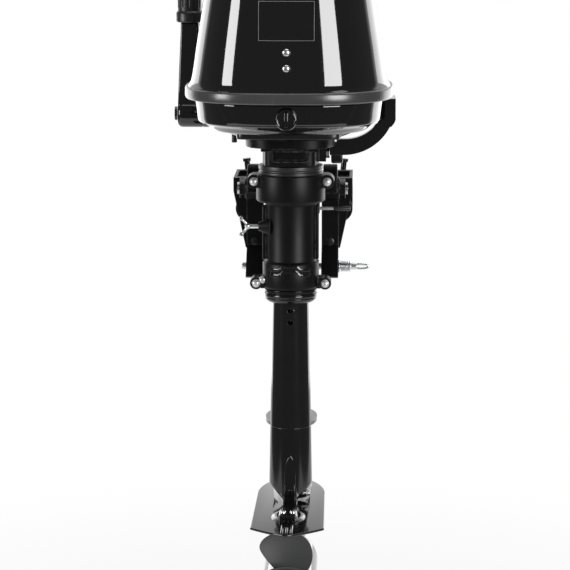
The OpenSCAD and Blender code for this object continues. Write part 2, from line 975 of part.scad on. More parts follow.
function blade_point(i, j, side) = let (
        t = sin(90 * i / blade_n),
        u = sin(90 * (2 * j / blade_m - 1)),
        r = hub_r - 6 + (prop_r - hub_r + 6) * t,
        pitch = atan(prop_pitch / (2 * PI * r)),
        c = u * blade_half(t) - 3 * t,
        thick = (4.6 - 3.2 * t) * sqrt(max(0.03, 1 - u * u)) * side / 2 + 1.5 * (1 - u * u),
        arc = (c * cos(pitch) - thick * sin(pitch)) / r * 180 / PI)
    [r * sin(arc), c * sin(pitch) + thick * cos(pitch) - 4 * t, r * cos(arc)];

function blade_index(i, j, side) = side * (blade_n + 1) * (blade_m + 1) + i * (blade_m + 1) + j;

module blade() {
    polyhedron(
        points = concat(
            [for (i = [0:blade_n]) for (j = [0:blade_m]) blade_point(i, j, 1)],
            [for (i = [0:blade_n]) for (j = [0:blade_m]) blade_point(i, j, -1)]),
        faces = concat(
            [for (i = [0:blade_n - 1]) for (j = [0:blade_m - 1])
                each [[blade_index(i, j, 0), blade_index(i, j + 1, 0), blade_index(i + 1, j + 1, 0)],
                    [blade_index(i, j, 0), blade_index(i + 1, j + 1, 0), blade_index(i + 1, j, 0)]]],
            [for (i = [0:blade_n - 1]) for (j = [0:blade_m - 1])
                each [[blade_index(i + 1, j + 1, 1), blade_index(i, j + 1, 1), blade_index(i, j, 1)],
                    [blade_index(i + 1, j, 1), blade_index(i + 1, j + 1, 1), blade_index(i, j, 1)]]],
            [for (i = [0:blade_n - 1])
                each [[blade_index(i + 1, 0, 0), blade_index(i + 1, 0, 1), blade_index(i, 0, 1)],
                    [blade_index(i, 0, 0), blade_index(i + 1, 0, 0), blade_index(i, 0, 1)],
                    [blade_index(i, blade_m, 1), blade_index(i + 1, blade_m, 1), blade_index(i + 1, blade_m, 0)],
                    [blade_index(i, blade_m, 1), blade_index(i + 1, blade_m, 0), blade_index(i, blade_m, 0)]]],
            [for (j = [0:blade_m - 1])
                each [[blade_index(0, j, 1), blade_index(0, j + 1, 1), blade_index(0, j + 1, 0)],
                    [blade_index(0, j, 1), blade_index(0, j + 1, 0), blade_index(0, j, 0)],
                    [blade_index(blade_n, j, 0), blade_index(blade_n, j + 1, 0), blade_index(blade_n, j + 1, 1)],
                    [blade_index(blade_n, j, 0), blade_index(blade_n, j + 1, 1), blade_index(blade_n, j, 1)]]]));
}

module propeller() {
    color("#2b2d2f")
    on_axis()
    translate([0, 0, prop_z])
    difference() {
        union() {
            rotate([-90, 0, 0])
            rotate_extrude()
            polygon([[0, hub_back], [hub_r + 8, hub_back], [hub_r + 4, hub_back + 10], [hub_r, hub_back + 26],
                [hub_r - 1, pod_back - 2], [0, pod_back - 2]]);
            for (k = [0:2])
                rotate([0, 120 * k, 0])
                translate([0, -134, 0])
                blade();
        }
        rod_y(hub_back - 1, pod_back, shaft_r);
        translate([0, pod_back - 14, 0])
        rod_x(-14, 14, 2);
        rotate([-90, 0, 0])
        difference() {
            rod_z(hub_back - 1, hub_back + 18, hub_r + 1);
            rod_z(hub_back - 2, hub_back + 19, 16);
        }
    }
}

module prop_nut() {
    color("#b9bcc0")
    on_axis()
    translate([0, 0, prop_z])
    difference() {
        union() {
            rod_y(hub_back - 2, hub_back, 13);
            hex_y(hub_back - 12, hub_back - 2, 12);
        }
        rod_y(hub_back - 13, hub_back + 1, shaft_r);
    }
}

// Cowls

module lower_cowl() {
    color("#0f0f10")
    on_axis()
    difference() {
        cowl_form(lower_sections, 0);
        hull()
        for (s = lower_sections)
            slice(oval(s[1] - cowl_wall, s[2] + cowl_wall, s[3] - cowl_wall),
                s[0] + (s[0] > 120 ? 1 : cowl_wall));
        rod_z(deck_z - 5, deck_z + 20, 34);
        translate([0, 0, latch_z])
        rod_y(-260, -150, 4 + fit);
        translate([-nipple_x, 5, 0])
        rod_z(deck_z - 22, knee_z + 9, 3.2 + fit);
    }
}

module cowl_seal() {
    color("#232425")
    on_axis()
    difference() {
        translate([0, 0, seal_z])
        linear_extrude(seal_h)
        polygon(oval(seal_w, mid - seal_l, mid + seal_l));
        translate([0, 0, seal_z - 1])
        linear_extrude(seal_h - 2 + gap)
        polygon(oval(seal_w - 11 + gap, mid - seal_l + 12 - gap, mid + seal_l - 10 + gap));
        translate([0, 0, seal_z - 1])
        linear_extrude(seal_h + 2)
        polygon(oval(seal_w - 14, mid - seal_l + 15, mid + seal_l - 13));
    }
}

module cowl_shell() {
    difference() {
        cowl_form(upper_sections, 0);
        cowl_form([for (s = upper_sections) [s[0] - (s[0] == rim_z ? 1 : 0), s[1], s[2], s[3]]], cowl_wall);
    }
}

module upper_cowl() {
    color("#0c0c0d")
    on_axis()
    difference() {
        cowl_shell();
        box(-panel_w - 1, panel_w + 1, 0, 200, rim_z - 5, panel_top + 1);
        for (z = rivets_z)
            translate([0, 0, z])
            rod_y(rear_at(z) - 5, rear_at(z) + 10, 2.5);
    }
}

module front_panel() {
    color("#161617")
    on_axis()
    difference() {
        intersection() {
            cowl_shell();
            box(-panel_w, panel_w, 0, 200, rim_z - 5, panel_top);
        }
        translate([rope_x, 0, case_top + 62])
        rod_y(0, 120, rope_r + run);
        translate([-24, 0, choke_z])
        rod_y(0, 120, 3 + fit);
        translate([-24, 0, stop_z])
        rod_y(0, 120, 7 + fit);
    }
}

module latch_strap() {
    color("#9a9da0")
    on_axis()
    difference() {
        plate_x(-11, 11)
        polygon([[rear_at(rim_z + 57.7) + cowl_wall + 0.6, rim_z + 57.7],
            [rear_at(rim_z + 9.7) + cowl_wall + 0.6, rim_z + 9.7],
            [mid - seal_l + 21, seal_z + 6], [mid - seal_l + 21, latch_z + 9], [mid - seal_l + 23.5, latch_z + 9],
            [mid - seal_l + 23.5, seal_z + 7], [rear_at(rim_z + 9.7) + cowl_wall + 3.2, rim_z + 10.7],
            [rear_at(rim_z + 57.7) + cowl_wall + 3.2, rim_z + 57.7]]);
        for (z = rivets_z)
            translate([0, 0, z])
            rod_y(rear_at(z) - 5, rear_at(z) + 20, 2.5);
    }
}

module cowl_rivets() {
    color("#c9ccd0")
    on_axis()
    for (z = rivets_z)
        translate([0, 0, z]) {
            rod_y(rear_at(z) - 1.2, rear_at(z) + cowl_wall + 4.5, 2.5);
            rod_y(rear_at(z) - 3.2, rear_at(z) - 0.6, 5);
        }
}

module latch_knob() {
    wall = mid - seal_l + 15;
    color("#141414")
    on_axis()
    translate([0, 0, latch_z]) {
        rod_y(wall - 5, wall + 11.5, 4);
        rod_y(wall - 12, wall - 1, latch_r);
        box(-2.5, 2.5, wall - 14, wall - 11, -latch_r + 2, latch_r - 2);
        box(-3, 3, wall + 6, wall + 9, -3, 7);
    }
}

module fuel_nipple() {
    color("#1a1a1a")
    on_axis()
    translate([-nipple_x, 5, 0]) {
        rod_z(deck_z - 12, deck_z + 2, 3.5);
        rod_z(deck_z + 1, knee_z - 3, 3.2);
        rod_z(knee_z - 3.5, knee_z, 6);
    }
}

// Steering bar and tiller

module steering_bar() {
    color("#191919")
    on_axis()
    difference() {
        union() {
            plate_y(6, 6 + bar_t)
            difference() {
                intersection() {
                    translate([bar_x - 66, 120])
                    circle(r = 66);
                    translate([bar_x - 66, 40])
                    square([80, 80]);
                }
                translate([bar_x - 64, 125])
                circle(r = 50.5);
            }
            box(neck_r + 1, bar_x - 65.9, 6, 6 + bar_t, 54, flange_z - gap);
            box(flange_w + 2, bar_x - 65.9, 6, 6 + bar_t, 54, 74.5);
            box(neck_r + 1, neck_r + 9, -8, 34, neck_z + 4, flange_z - gap);
            box(bar_x - bar_t, bar_x, 6, 46, bar_z, bar_z + bar_h);
            translate([0, 0, bar_z])
            linear_extrude(bar_h)
            difference() {
                intersection() {
                    translate([bar_x - bar_y + 45, 45])
                    circle(r = bar_y - 45);
                    translate([bar_x - bar_y + 45, 45])
                    square([200, 200]);
                }
                translate([bar_x - bar_y + 45, 45])
                circle(r = bar_y - 45 - bar_t);
            }
            box(-tiller_x + 22, bar_x - bar_y + 45.1, bar_y - bar_t, bar_y, bar_z, bar_z + bar_h);
            translate([0, bar_y - 7, pivot_z])
            rod_x(-tiller_x + 17.4, -tiller_x + 40, knuckle_r);
        }
        translate([0, bar_y - 7, pivot_z])
        rod_x(-tiller_x, -tiller_x + 38, 5 + fit);
        for (y = [-1.5, 27.5])
            translate([0, y, (neck_z + flange_z) / 2])
            rod_x(20, 100, 3.5 + fit);
    }
}

module bar_bolts() {
    color("#b9bcc0")
    on_axis()
    for (y = [-1.5, 27.5])
        translate([0, y, (neck_z + flange_z) / 2]) {
            rod_x(22, neck_r + 9, 3.5);
            hex_x(neck_r + 9, neck_r + 13.5, 6);
        }
}

module tiller_bracket_bolt() {
    color("#2a2a2a")
    on_axis()
    translate([0, bar_y - 7, pivot_z]) {
        rod_x(-tiller_x - 17, -tiller_x + 37, 5);
        rod_x(-tiller_x - 20, -tiller_x - 16.5, 9);
    }
}

module tiller_arm() {
    color("#131313")
    on_axis()
    translate([-tiller_x, bar_y - 7, pivot_z])
    difference() {
        union() {
            rod_x(-16.5, 17, knuckle_r);
            hull() {
                translate([-1, 0, 6])
                cube([30, 26, 2], center = true);
                translate([0.5, 0, tiller_len - 10])
                cube([24, 21, 2], center = true);
            }
            rod_z(tiller_len - 12, tiller_len - run, 11.5);
            rod_z(tiller_len - 2, tiller_len + grip_len - 12, 9);
        }
        rod_x(-17, 20, 5);
    }
}

module throttle_grip() {
    color("#1b1b1b")
    on_axis()
    translate([-tiller_x, bar_y - 7, pivot_z])
    difference() {
        union() {
            rod_z(tiller_len, tiller_len + 13, grip_r + 2);
            rod_z(tiller_len + 12, tiller_len + grip_len, grip_r);
        }
        rod_z(tiller_len - 1, tiller_len + grip_len - 11, 9 + fit);
        for (k = [0:11])
            rotate([0, 0, 30 * k])
            translate([grip_r + 0.6, 0, 0])
            rod_z(tiller_len + 22, tiller_len + grip_len - 8, 1.6);
    }
}

// Powerhead

module crankcase() {
    color("#7e8184")
    on_axis()
    difference() {
        union() {
            rod_z(deck_z, deck_z + 8, 33.5);
            box(-case_w, case_w, -42, 36, deck_z + 6, case_top - 5);
            rod_z(case_top - 6, case_top, recoil_r);
            translate([0, 0, cyl_z])
            rod_y(-104, -40, 38);
            for (k = [0:4])
                translate([0, 0, cyl_z])
                rod_y(-100 + 11 * k, -96 + 11 * k, 46);
        }
        rod_z(deck_z - 1, case_top + 1, crank_r + 3);
        rod_z(deck_z + 5.8, deck_z + 20, crank_r + 9);
        rod_z(case_top - 16, case_top + 1, crank_r + 9);
        rod_z(cyl_z - 25, cyl_z + 25, 34);
        translate([0, 0, cyl_z])
        rod_y(-105, -20, 22);
    }
}

module cylinder_head() {
    color("#8a8d90")
    on_axis()
    translate([0, 0, cyl_z])
    difference() {
        union() {
            rod_y(-112, -104, 42);
            for (k = [-3:3])
                box(-36 + abs(k) * 3, 36 - abs(k) * 3, -126, -110, 10 * k - 2, 10 * k + 2);
            rod_y(-126, -110, 12);
        }
        rod_y(-130, -100, 6 + fit);
    }
}

module spark_plug() {
    color("#e6e4dd")
    on_axis()
    translate([0, 0, cyl_z]) {
        rod_y(-128, -106, 6);
        hex_y(-134, -126, 10);
        rod_y(-152, -134, 5.5);
        rod_y(-162, -152, 3.2);
    }
}

module carburettor() {
    color("#8d9094")
    on_axis()
    translate([case_w, 8, cyl_z - 1]) {
        rod_x(0, 14, 16);
        box(14, 44, -19, 19, -20, 18);
        translate([29, 0, 0])
        rod_z(-44, -19, 17);
        rod_x(44, 60, 14);
    }
}

module ignition_coil() {
    color("#222427")
    on_axis()
    translate([-case_w, 0, 0]) {
        box(-22, 0, -18, 18, case_top - 46, case_top - 16);
        box(-8, 0, -26, 26, case_top - 38, case_top - 24);
    }
}

module recoil_housing() {
    color("#2a2c2f")
    on_axis()
    difference() {
        union() {
            rod_z(case_top + 46, case_top + 76, recoil_r);
            for (k = [0:2])
                rotate([0, 0, 30 + 120 * k])
                translate([recoil_r - 5, 0, 0])
                rod_z(case_top, case_top + 47, 4);
        }
        rod_z(case_top + 45, case_top + 73, recoil_r - 3);
        translate([rope_x, 0, case_top + 62])
        rod_y(10, 120, rope_r + run);
    }
    on_axis()
    color("#3a3d40") {
        rod_z(case_top + 54, case_top + 70, rope_x - rope_r - run);
        rod_z(case_top + 70, case_top + 73, 12);
    }
}

module starter_handle() {
    front = mid + seal_l - 20;
    color("#1d1d1d")
    on_axis()
    translate([rope_x, 0, case_top + 62]) {
        rod_y(2, front + 6, rope_r);
        difference() {
            rod_y(front + 5, front + 16, 8);
            rod_y(front + 4, front + 6, rope_r);
        }
        translate([0, front + 20, 0])
        rod_x(-20, 20, 7);
    }
}

module choke_knob() {
    front = mid + seal_l - 15;
    color("#1d1d1d")
    on_axis()
    translate([-24, 0, choke_z]) {
        rod_y(flywheel_r + 2, front + 6, 3);
        rod_y(front + 5, front + 17, 10);
    }
}

module stop_button() {
    front = mid + seal_l - 11;
    color("#b3261e")
    on_axis()
    translate([-24, 0, stop_z]) {
        rod_y(front - 14, front + 9, 7);
        rod_y(front - 16, front - 12, 9);
    }
}

clamp_bracket_port();
clamp_bracket_starboard();
clamp_bridge();
tilt_bolt();
tilt_nuts();
trim_pin();
trim_pin_spring();
clamp_pad_port();
clamp_pad_starboard();
clamp_screw_port();
clamp_screw_starboard();
swivel_bracket();
swivel_cover();
swivel_bolts();
upper_bush();
lower_bush();
friction_screw();
steering_head();
thrust_collar();
leg_tube();
gearcase();
gearcase_screw();
pump_housing();
intake_grilles();
bearing_carrier();
shaft_bearings();
shaft_seal();
steering_bar();
bar_bolts();
lower_cowl();
cowl_seal();
front_panel();
crankcase();
cylinder_head();
spark_plug();
carburettor();
ignition_coil();
recoil_housing();
fuel_nipple();
crankshaft();
flywheel();
drive_shaft();
pinion_gear();
pump_impeller();
prop_shaft();
driven_gear();
propeller();
shear_pin();
prop_nut();
tiller_bracket_bolt();
tiller_arm();
throttle_grip();
upper_cowl();
latch_strap();
cowl_rivets();
latch_knob();
starter_handle();
choke_knob();
stop_button();
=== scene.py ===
"""Outboard motor seen from astern: dressed pieces, finishes, studio light and camera."""
import json
import logging
import math
from contextlib import contextmanager
from dataclasses import dataclass, field
from enum import Enum
from typing import Iterable, Iterator, Sequence

import bpy
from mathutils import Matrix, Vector


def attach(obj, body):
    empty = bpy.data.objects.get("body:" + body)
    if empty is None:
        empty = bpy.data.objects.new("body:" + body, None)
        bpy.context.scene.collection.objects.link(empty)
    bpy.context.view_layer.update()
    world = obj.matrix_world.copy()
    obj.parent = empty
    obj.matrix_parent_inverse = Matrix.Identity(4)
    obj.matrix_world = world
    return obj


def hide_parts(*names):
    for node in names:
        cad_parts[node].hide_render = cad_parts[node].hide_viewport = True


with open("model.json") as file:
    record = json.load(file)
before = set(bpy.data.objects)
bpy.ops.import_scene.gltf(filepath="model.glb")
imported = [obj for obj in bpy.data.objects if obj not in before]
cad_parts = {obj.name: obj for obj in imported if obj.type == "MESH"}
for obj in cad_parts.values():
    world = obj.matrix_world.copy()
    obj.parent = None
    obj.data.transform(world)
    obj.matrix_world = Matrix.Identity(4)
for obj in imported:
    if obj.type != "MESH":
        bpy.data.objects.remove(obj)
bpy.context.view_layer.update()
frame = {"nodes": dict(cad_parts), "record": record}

LOG = logging.getLogger("outboard")
MM = 0.001
AXIS_Y = -105.0
PROP_Z = -488.0
SQUARENESS = 2.7
HULL_SIDES = 176
LEAST_RADIUS = 1e-5
CAST_ANGLE = 28.0
SLOTS: dict[str, str] = {part["node"]: part["material_slot"] for part in frame["record"]["subparts"]}
# Nodes that don't take the finish which their slot is named after.
NODE_FINISH: dict[str, str] = {"tilt_bolt": "steel", "pump_housing": "cast_black",
                               "intake_grilles": "cast_black", "latch_strap": "zinc"}
Pair = tuple[float, float]
Point = tuple[float, float, float]
Row = tuple[float, ...]
Object = bpy.types.Object
Material = bpy.types.Material
NodeTree = bpy.types.NodeTree
Socket = bpy.types.NodeSocket


class Body(str, Enum):
    """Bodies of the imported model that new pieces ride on."""

    CLAMP = "clamp"
    TRIM_PIN = "trim_pin"
    PAD_PORT = "clamp_pad_port"
    PAD_STARBOARD = "clamp_pad_starboard"
    SCREW_PORT = "clamp_screw_port"
    SCREW_STARBOARD = "clamp_screw_starboard"
    SWIVEL = "swivel"
    FRICTION = "friction_screw"
    MOTOR = "motor"
    PROPELLER = "propeller"
    TILLER = "tiller"
    THROTTLE = "throttle"
    COWL = "cowl"
    LATCH = "latch"
    STARTER = "starter"
    CHOKE = "choke"
    STOP = "stop"


class Along(Enum):
    """Direction that a turned piece points in."""

    X = (0.0, math.pi / 2, 0.0)
    Y = (-math.pi / 2, 0.0, 0.0)
    Z = (0.0, 0.0, 0.0)


class Plane(Enum):
    """Plane that a flat outline lies in, as the axes of its first, second and thickness values."""

    XY = (0, 1, 2)
    XZ = (0, 2, 1)
    YZ = (1, 2, 0)


def spread(low: float, high: float, steps: int) -> list[float]:
    """Give evenly spaced values from low to high, both included."""
    return [low + (high - low) * i / steps for i in range(steps + 1)]


def blend_step(low: float, high: float, value: float) -> float:
    """Ease a value from 0 at low to 1 at high.

    Args:
        low: Value where the ease starts.
        high: Value where the ease ends.
        value: Value to ease.

    Returns:
        Share between 0 and 1.
    """
    share = min(1.0, max(0.0, (value - low) / (high - low)))
    return share * share * (3.0 - 2.0 * share)


def smooth_track(stations: Sequence[Sequence[float]], steps: int) -> list[Row]:
    """Run a smooth curve through rows of numbers, spaced by their distance.

    Args:
        stations: Rows that the curve passes through.
        steps: Points between two rows.

    Returns:
        Rows along the curve.
    """
    rows = [Vector(row) for row in stations]
    rows = [rows[0] * 2 - rows[1]] + rows + [rows[-1] * 2 - rows[-2]]
    knots = [0.0]
    for before, after in zip(rows, rows[1:]):
        knots.append(knots[-1] + max(1e-6, (after - before).length) ** 0.5)
    track: list[Row] = []
    for k in range(1, len(rows) - 2):
        near, when = rows[k - 1:k + 3], knots[k - 1:k + 3]
        for i in range(steps):
            t = when[1] + (when[2] - when[1]) * i / steps
            first = [near[j].lerp(near[j + 1], (t - when[j]) / (when[j + 1] - when[j])) for j in range(3)]
            second = [first[j].lerp(first[j + 1], (t - when[j]) / (when[j + 2] - when[j])) for j in range(2)]
            track.append(tuple(second[0].lerp(second[1], (t - when[1]) / (when[2] - when[1]))))
    track.append(tuple(rows[-2]))
    return track


def bow(x: float, half: float) -> float:
    """Give the share of its length that a cowl's outline keeps at a distance from its middle plane."""
    return max(0.0, 1 - abs(x / half) ** SQUARENESS) ** (1 / SQUARENESS)


def oval(half: float, rear: float, front: float, z: float, count: int,
         power: float = SQUARENESS) -> list[Point]:
    """Give a round-cornered outline around the steering axis.

    Args:
        half: Half of its width.
        rear: Reach behind the steering axis, negative.
        front: Reach in front of the steering axis.
        z: Height of the outline.
        count: Number of points.
        power: Squareness, 2 is an ellipse.

    Returns:
        Points in millimetres.
    """
    points: list[Point] = []
    for i in range(count):
        angle = 2 * math.pi * i / count
        c, s = math.cos(angle), math.sin(angle)
        x = half * math.copysign(abs(c) ** (2 / power), c)
        y = (rear + front) / 2 + (front - rear) / 2 * math.copysign(abs(s) ** (2 / power), s)
        points.append((x, AXIS_Y + y, z))
    return points


class Bench:
    """Work bench that shapes meshes with Blender's own operators, in millimetres."""

    @staticmethod
    def grab(obj: Object) -> None:
        """Make one object the only selected and active one."""
        bpy.ops.object.select_all(action="DESELECT")
        obj.select_set(True)
        bpy.context.view_layer.objects.active = obj

    @staticmethod
    @contextmanager
    def editing(obj: Object) -> Iterator[None]:
        """Open an object in edit mode with its whole mesh selected, and close it after the work.

        Args:
            obj: Mesh to work on.

        Yields:
            Nothing, while the mesh is open.
        """
        Bench.grab(obj)
        bpy.ops.object.mode_set(mode="EDIT")
        bpy.ops.mesh.select_all(action="SELECT")
        yield
        bpy.ops.object.mode_set(mode="OBJECT")

    @staticmethod
    def added(name: str) -> Object:
        """Name the object that an operator has just added."""
        bpy.context.object.name = name
        return bpy.context.object

    @staticmethod
    def settle() -> None:
        """Apply the place, turn and scale of the selected object to its mesh."""
        bpy.ops.object.transform_apply(location=True, rotation=True, scale=True)

    @staticmethod
    def tidy(obj: Object, fill: bool = True) -> Object:
        """Merge doubles, close open ends and turn the faces outwards.

        Args:
            obj: Mesh to tidy.
            fill: Whether open ends are closed.

        Returns:
            The same object.
        """
        with Bench.editing(obj):
            bpy.ops.mesh.remove_doubles(threshold=2e-6)
            if fill:
                bpy.ops.mesh.fill_holes(sides=0)
            bpy.ops.mesh.select_all(action="SELECT")
            bpy.ops.mesh.normals_make_consistent(inside=False)
        return obj

    @staticmethod
    def skin(name: str, rings: Sequence[Sequence[Point]], looped: bool = True, fill: bool = True) -> Object:
        """Bend a grid over rows of points.

        Args:
            name: Name of the piece.
            rings: Rows of points in millimetres.
            looped: Whether each row closes on itself.
            fill: Whether the open ends are closed.

        Returns:
            The new object.
        """
        rows = [list(ring) + [ring[0]] if looped else list(ring) for ring in rings]
        bpy.ops.mesh.primitive_grid_add(x_subdivisions=len(rows[0]) - 1, y_subdivisions=len(rows) - 1, size=1)
        obj = Bench.added(name)
        obj.data.vertices.foreach_set("co", [value * MM for row in rows for point in row for value in point])
        obj.data.update()
        return Bench.tidy(obj, fill)

    @staticmethod
    def turned(name: str, profile: Sequence[Pair], along: Along, at: Point, sides: int = 64) -> Object:
        """Turn a profile on a lathe: a circle that is extruded and resized step by step.

        Args:
            name: Name of the piece.
            profile: Radius and distance along the axis of each step.
            along: Direction of the axis.
            at: Point where the distance is zero.
            sides: Number of sides.

        Returns:
            The new object.
        """
        steps = [(max(wide, LEAST_RADIUS), far) for wide, far in profile]
        radius, reach = steps[0]
        bpy.ops.mesh.primitive_circle_add(vertices=sides, radius=radius * MM)
        obj = Bench.added(name)
        with Bench.editing(obj):
            bpy.ops.transform.translate(value=(0, 0, reach * MM))
            for wide, far in steps[1:]:
                bpy.ops.mesh.extrude_region_move(TRANSFORM_OT_translate={"value": (0, 0, (far - reach) * MM)})
                share = wide / radius
                bpy.ops.transform.resize(value=(share, share, 1), center_override=(0, 0, far * MM))
                radius, reach = wide, far
        obj.rotation_euler = along.value
        obj.location = Vector(at) * MM
        Bench.settle()
        return Bench.tidy(obj)

    @staticmethod
    def turnings(along: Along, at: Point, *cuts: tuple[int, Sequence[Pair]]) -> list[Object]:
        """Turn several profiles, each with its number of sides, on one axis."""
        return [Bench.turned("turning", profile, along, at, sides) for sides, profile in cuts]

    @staticmethod
    def plate(name: str, outline: Sequence[Pair], low: float, high: float, plane: Plane,
              round_by: float = 0.0, segments: int = 2) -> Object:
        """Extrude a flat outline and round its edges.

        Args:
            name: Name of the piece.
            outline: Points of the outline.
            low: Lower face along the thickness.
            high: Upper face along the thickness.
            plane: Plane of the outline.
            round_by: Width of the rounded edges.
            segments: Steps of the rounding.

        Returns:
            The new object.
        """
        bpy.ops.mesh.primitive_circle_add(vertices=len(outline), radius=1, fill_type="NGON")
        obj = Bench.added(name)
        first, second, third = plane.value
        for vertex, (a, b) in zip(obj.data.vertices, outline):
            vertex.co[first] = a * MM
            vertex.co[second] = b * MM
            vertex.co[third] = low * MM
        step = [0.0, 0.0, 0.0]
        step[third] = (high - low) * MM
        with Bench.editing(obj):
            bpy.ops.mesh.extrude_region_move(TRANSFORM_OT_translate={"value": step})
        Bench.tidy(obj)
        return Bench.rounded(obj, round_by, segments) if round_by else obj

    @staticmethod
    def block(name: str, low: Point, high: Point, round_by: float = 0.8, segments: int = 2) -> Object:
        """Make a box with rounded edges.

        Args:
            name: Name of the piece.
            low: Lowest corner.
            high: Highest corner.
            round_by: Width of the rounded edges.
            segments: Steps of the rounding.

        Returns:
            The new object.
        """
        bpy.ops.mesh.primitive_cube_add(size=1)
        obj = Bench.added(name)
        obj.location = (Vector(low) + Vector(high)) * 0.5 * MM
        obj.scale = (Vector(high) - Vector(low)) * MM
        Bench.settle()
        return Bench.rounded(obj, round_by, segments)

    @staticmethod
    def tube(name: str, path: Sequence[Point], radius: float, closed: bool = False,
             sides: int = 12) -> Object:
        """Sweep a round section along a path.

        Args:
            name: Name of the piece.
            path: Points along the middle.
            radius: Radius of the section.
            closed: Whether the path closes on itself.
            sides: Number of sides of the section.

        Returns:
            The new object.
        """
        points = [Vector(p) for p in path]
        count = len(points)
        turns = [2 * math.pi * k / sides for k in range(sides)]
        rings: list[list[Point]] = []
        side = Vector((0.31, 0.22, 0.92))
        for i, point in enumerate(points):
            before = points[(i - 1) % count] if closed or i else point
            after = points[(i + 1) % count] if closed or i < count - 1 else point
            ahead = (after - before).normalized()
            side = (side - ahead * side.dot(ahead)).normalized()
            other = ahead.cross(side)
            rings.append([tuple(point + (side * math.cos(a) + other * math.sin(a)) * radius) for a in turns])
        if closed:
            rings.append(rings[0])
        return Bench.skin(name, rings, fill=not closed)

    @staticmethod
    def modify(obj: Object, kind: str, **settings: object) -> Object:
        """Add a modifier and apply it.

        Args:
            obj: Object to change.
            kind: Type of the modifier.
            **settings: Values of the modifier.

        Returns:
            The same object.
        """
        Bench.grab(obj)
        modifier = obj.modifiers.new(kind.lower(), kind)
        for key, value in settings.items():
            setattr(modifier, key, value)
        bpy.ops.object.modifier_apply(modifier=modifier.name)
        return obj

    @staticmethod
    def rounded(obj: Object, width: float, segments: int = 2, angle: float = 35.0) -> Object:
        """Round the edges of an object where two faces meet at more than an angle."""
        return Bench.modify(obj, "BEVEL", width=width * MM, segments=segments, limit_method="ANGLE",
                            angle_limit=math.radians(angle), use_clamp_overlap=True, miter_outer="MITER_ARC")

    @staticmethod
    def walled(obj: Object, thick: float, offset: float = -1.0, even: bool = False) -> Object:
        """Give an open sheet a thickness, inwards unless an offset says otherwise."""
        return Bench.modify(obj, "SOLIDIFY", thickness=thick * MM, offset=offset, use_even_offset=even)

    @staticmethod
    def facing_astern(obj: Object) -> Object:
        """Turn an open sheet so that its faces look astern."""
        if sum(polygon.normal.y for polygon in obj.data.polygons) > 0:
            with Bench.editing(obj):
                bpy.ops.mesh.flip_normals()
        return obj

    @staticmethod
    def combine(obj: Object, others: Iterable[Object], operation: str) -> Object:
        """Cut, join or intersect an object with others, which are used up.

        Args:
            obj: Object to change.
            others: Tools of the cut.
            operation: DIFFERENCE, UNION or INTERSECT.

        Returns:
            The same object.
        """
        for other in others:
            Bench.modify(obj, "BOOLEAN", object=other, operation=operation, solver="EXACT")
            bpy.data.objects.remove(other, do_unlink=True)
        return obj

    @staticmethod
    def joined(name: str, objects: Sequence[Object]) -> Object:
        """Join objects into one piece, which stays selected.

        Args:
            name: Name of the piece.
            objects: Objects to join.

        Returns:
            The joined object.
        """
        Bench.grab(objects[0])
        for obj in objects[1:]:
            obj.select_set(True)
        if len(objects) > 1:
            bpy.ops.object.join()
        objects[0].name = name
        return objects[0]

    @staticmethod
    def copied(source: Object, name: str) -> Object:
        """Copy an object with a bare mesh of its own.

        Args:
            source: Object to copy.
            name: Name of the copy.

        Returns:
            The copy.
        """
        obj = bpy.data.objects.new(name, source.data.copy())
        obj.data.materials.clear()
        bpy.context.collection.objects.link(obj)
        return obj

    @staticmethod
    def softened(node: str, name: str, width: float, segments: int = 2,
                 cutters: Iterable[Object] = ()) -> Object:
        """Copy a node of the model and round its edges as a casting's are.

        Args:
            node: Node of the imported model.
            name: Name of the piece.
            width: Width of the rounding.
            segments: Steps of the rounding.
            cutters: Objects that are cut away before the rounding.

        Returns:
            The new object.
        """
        obj = Bench.copied(frame["nodes"][node], name)
        with Bench.editing(obj):
            bpy.ops.mesh.remove_doubles(threshold=1e-6)
            bpy.ops.mesh.dissolve_limited(angle_limit=math.radians(1.0))
        Bench.combine(obj, cutters, "DIFFERENCE")
        return Bench.rounded(obj, width, segments, CAST_ANGLE)


class Wiring:
    """Small helper that adds and links shader nodes in one tree."""

    def __init__(self, tree: NodeTree) -> None:
        """Keep the tree that is wired, and empty it."""
        self.tree = tree
        tree.nodes.clear()

    def add(self, kind: str, inputs: dict[str | int, object] | None = None,
            **values: object) -> bpy.types.Node:
        """Add a node.

        Args:
            kind: Type of the node.
            inputs: Value of each input, or the socket that is linked to it.
            **values: Properties of the node.

        Returns:
            The node.
        """
        node = self.tree.nodes.new(kind)
        for key, value in values.items():
            setattr(node, key, value)
        for key, value in (inputs or {}).items():
            if isinstance(value, Socket):
                self.tree.links.new(value, node.inputs[key])
            else:
                node.inputs[key].default_value = value
        return node

    def math(self, operation: str, first: object, second: object, clamp: bool = False) -> Socket:
        """Add a sum, product or other simple step of two sockets or numbers, and give its result."""
        inputs = {0: first, 1: second}
        return self.add("ShaderNodeMath", inputs, operation=operation, use_clamp=clamp).outputs[0]


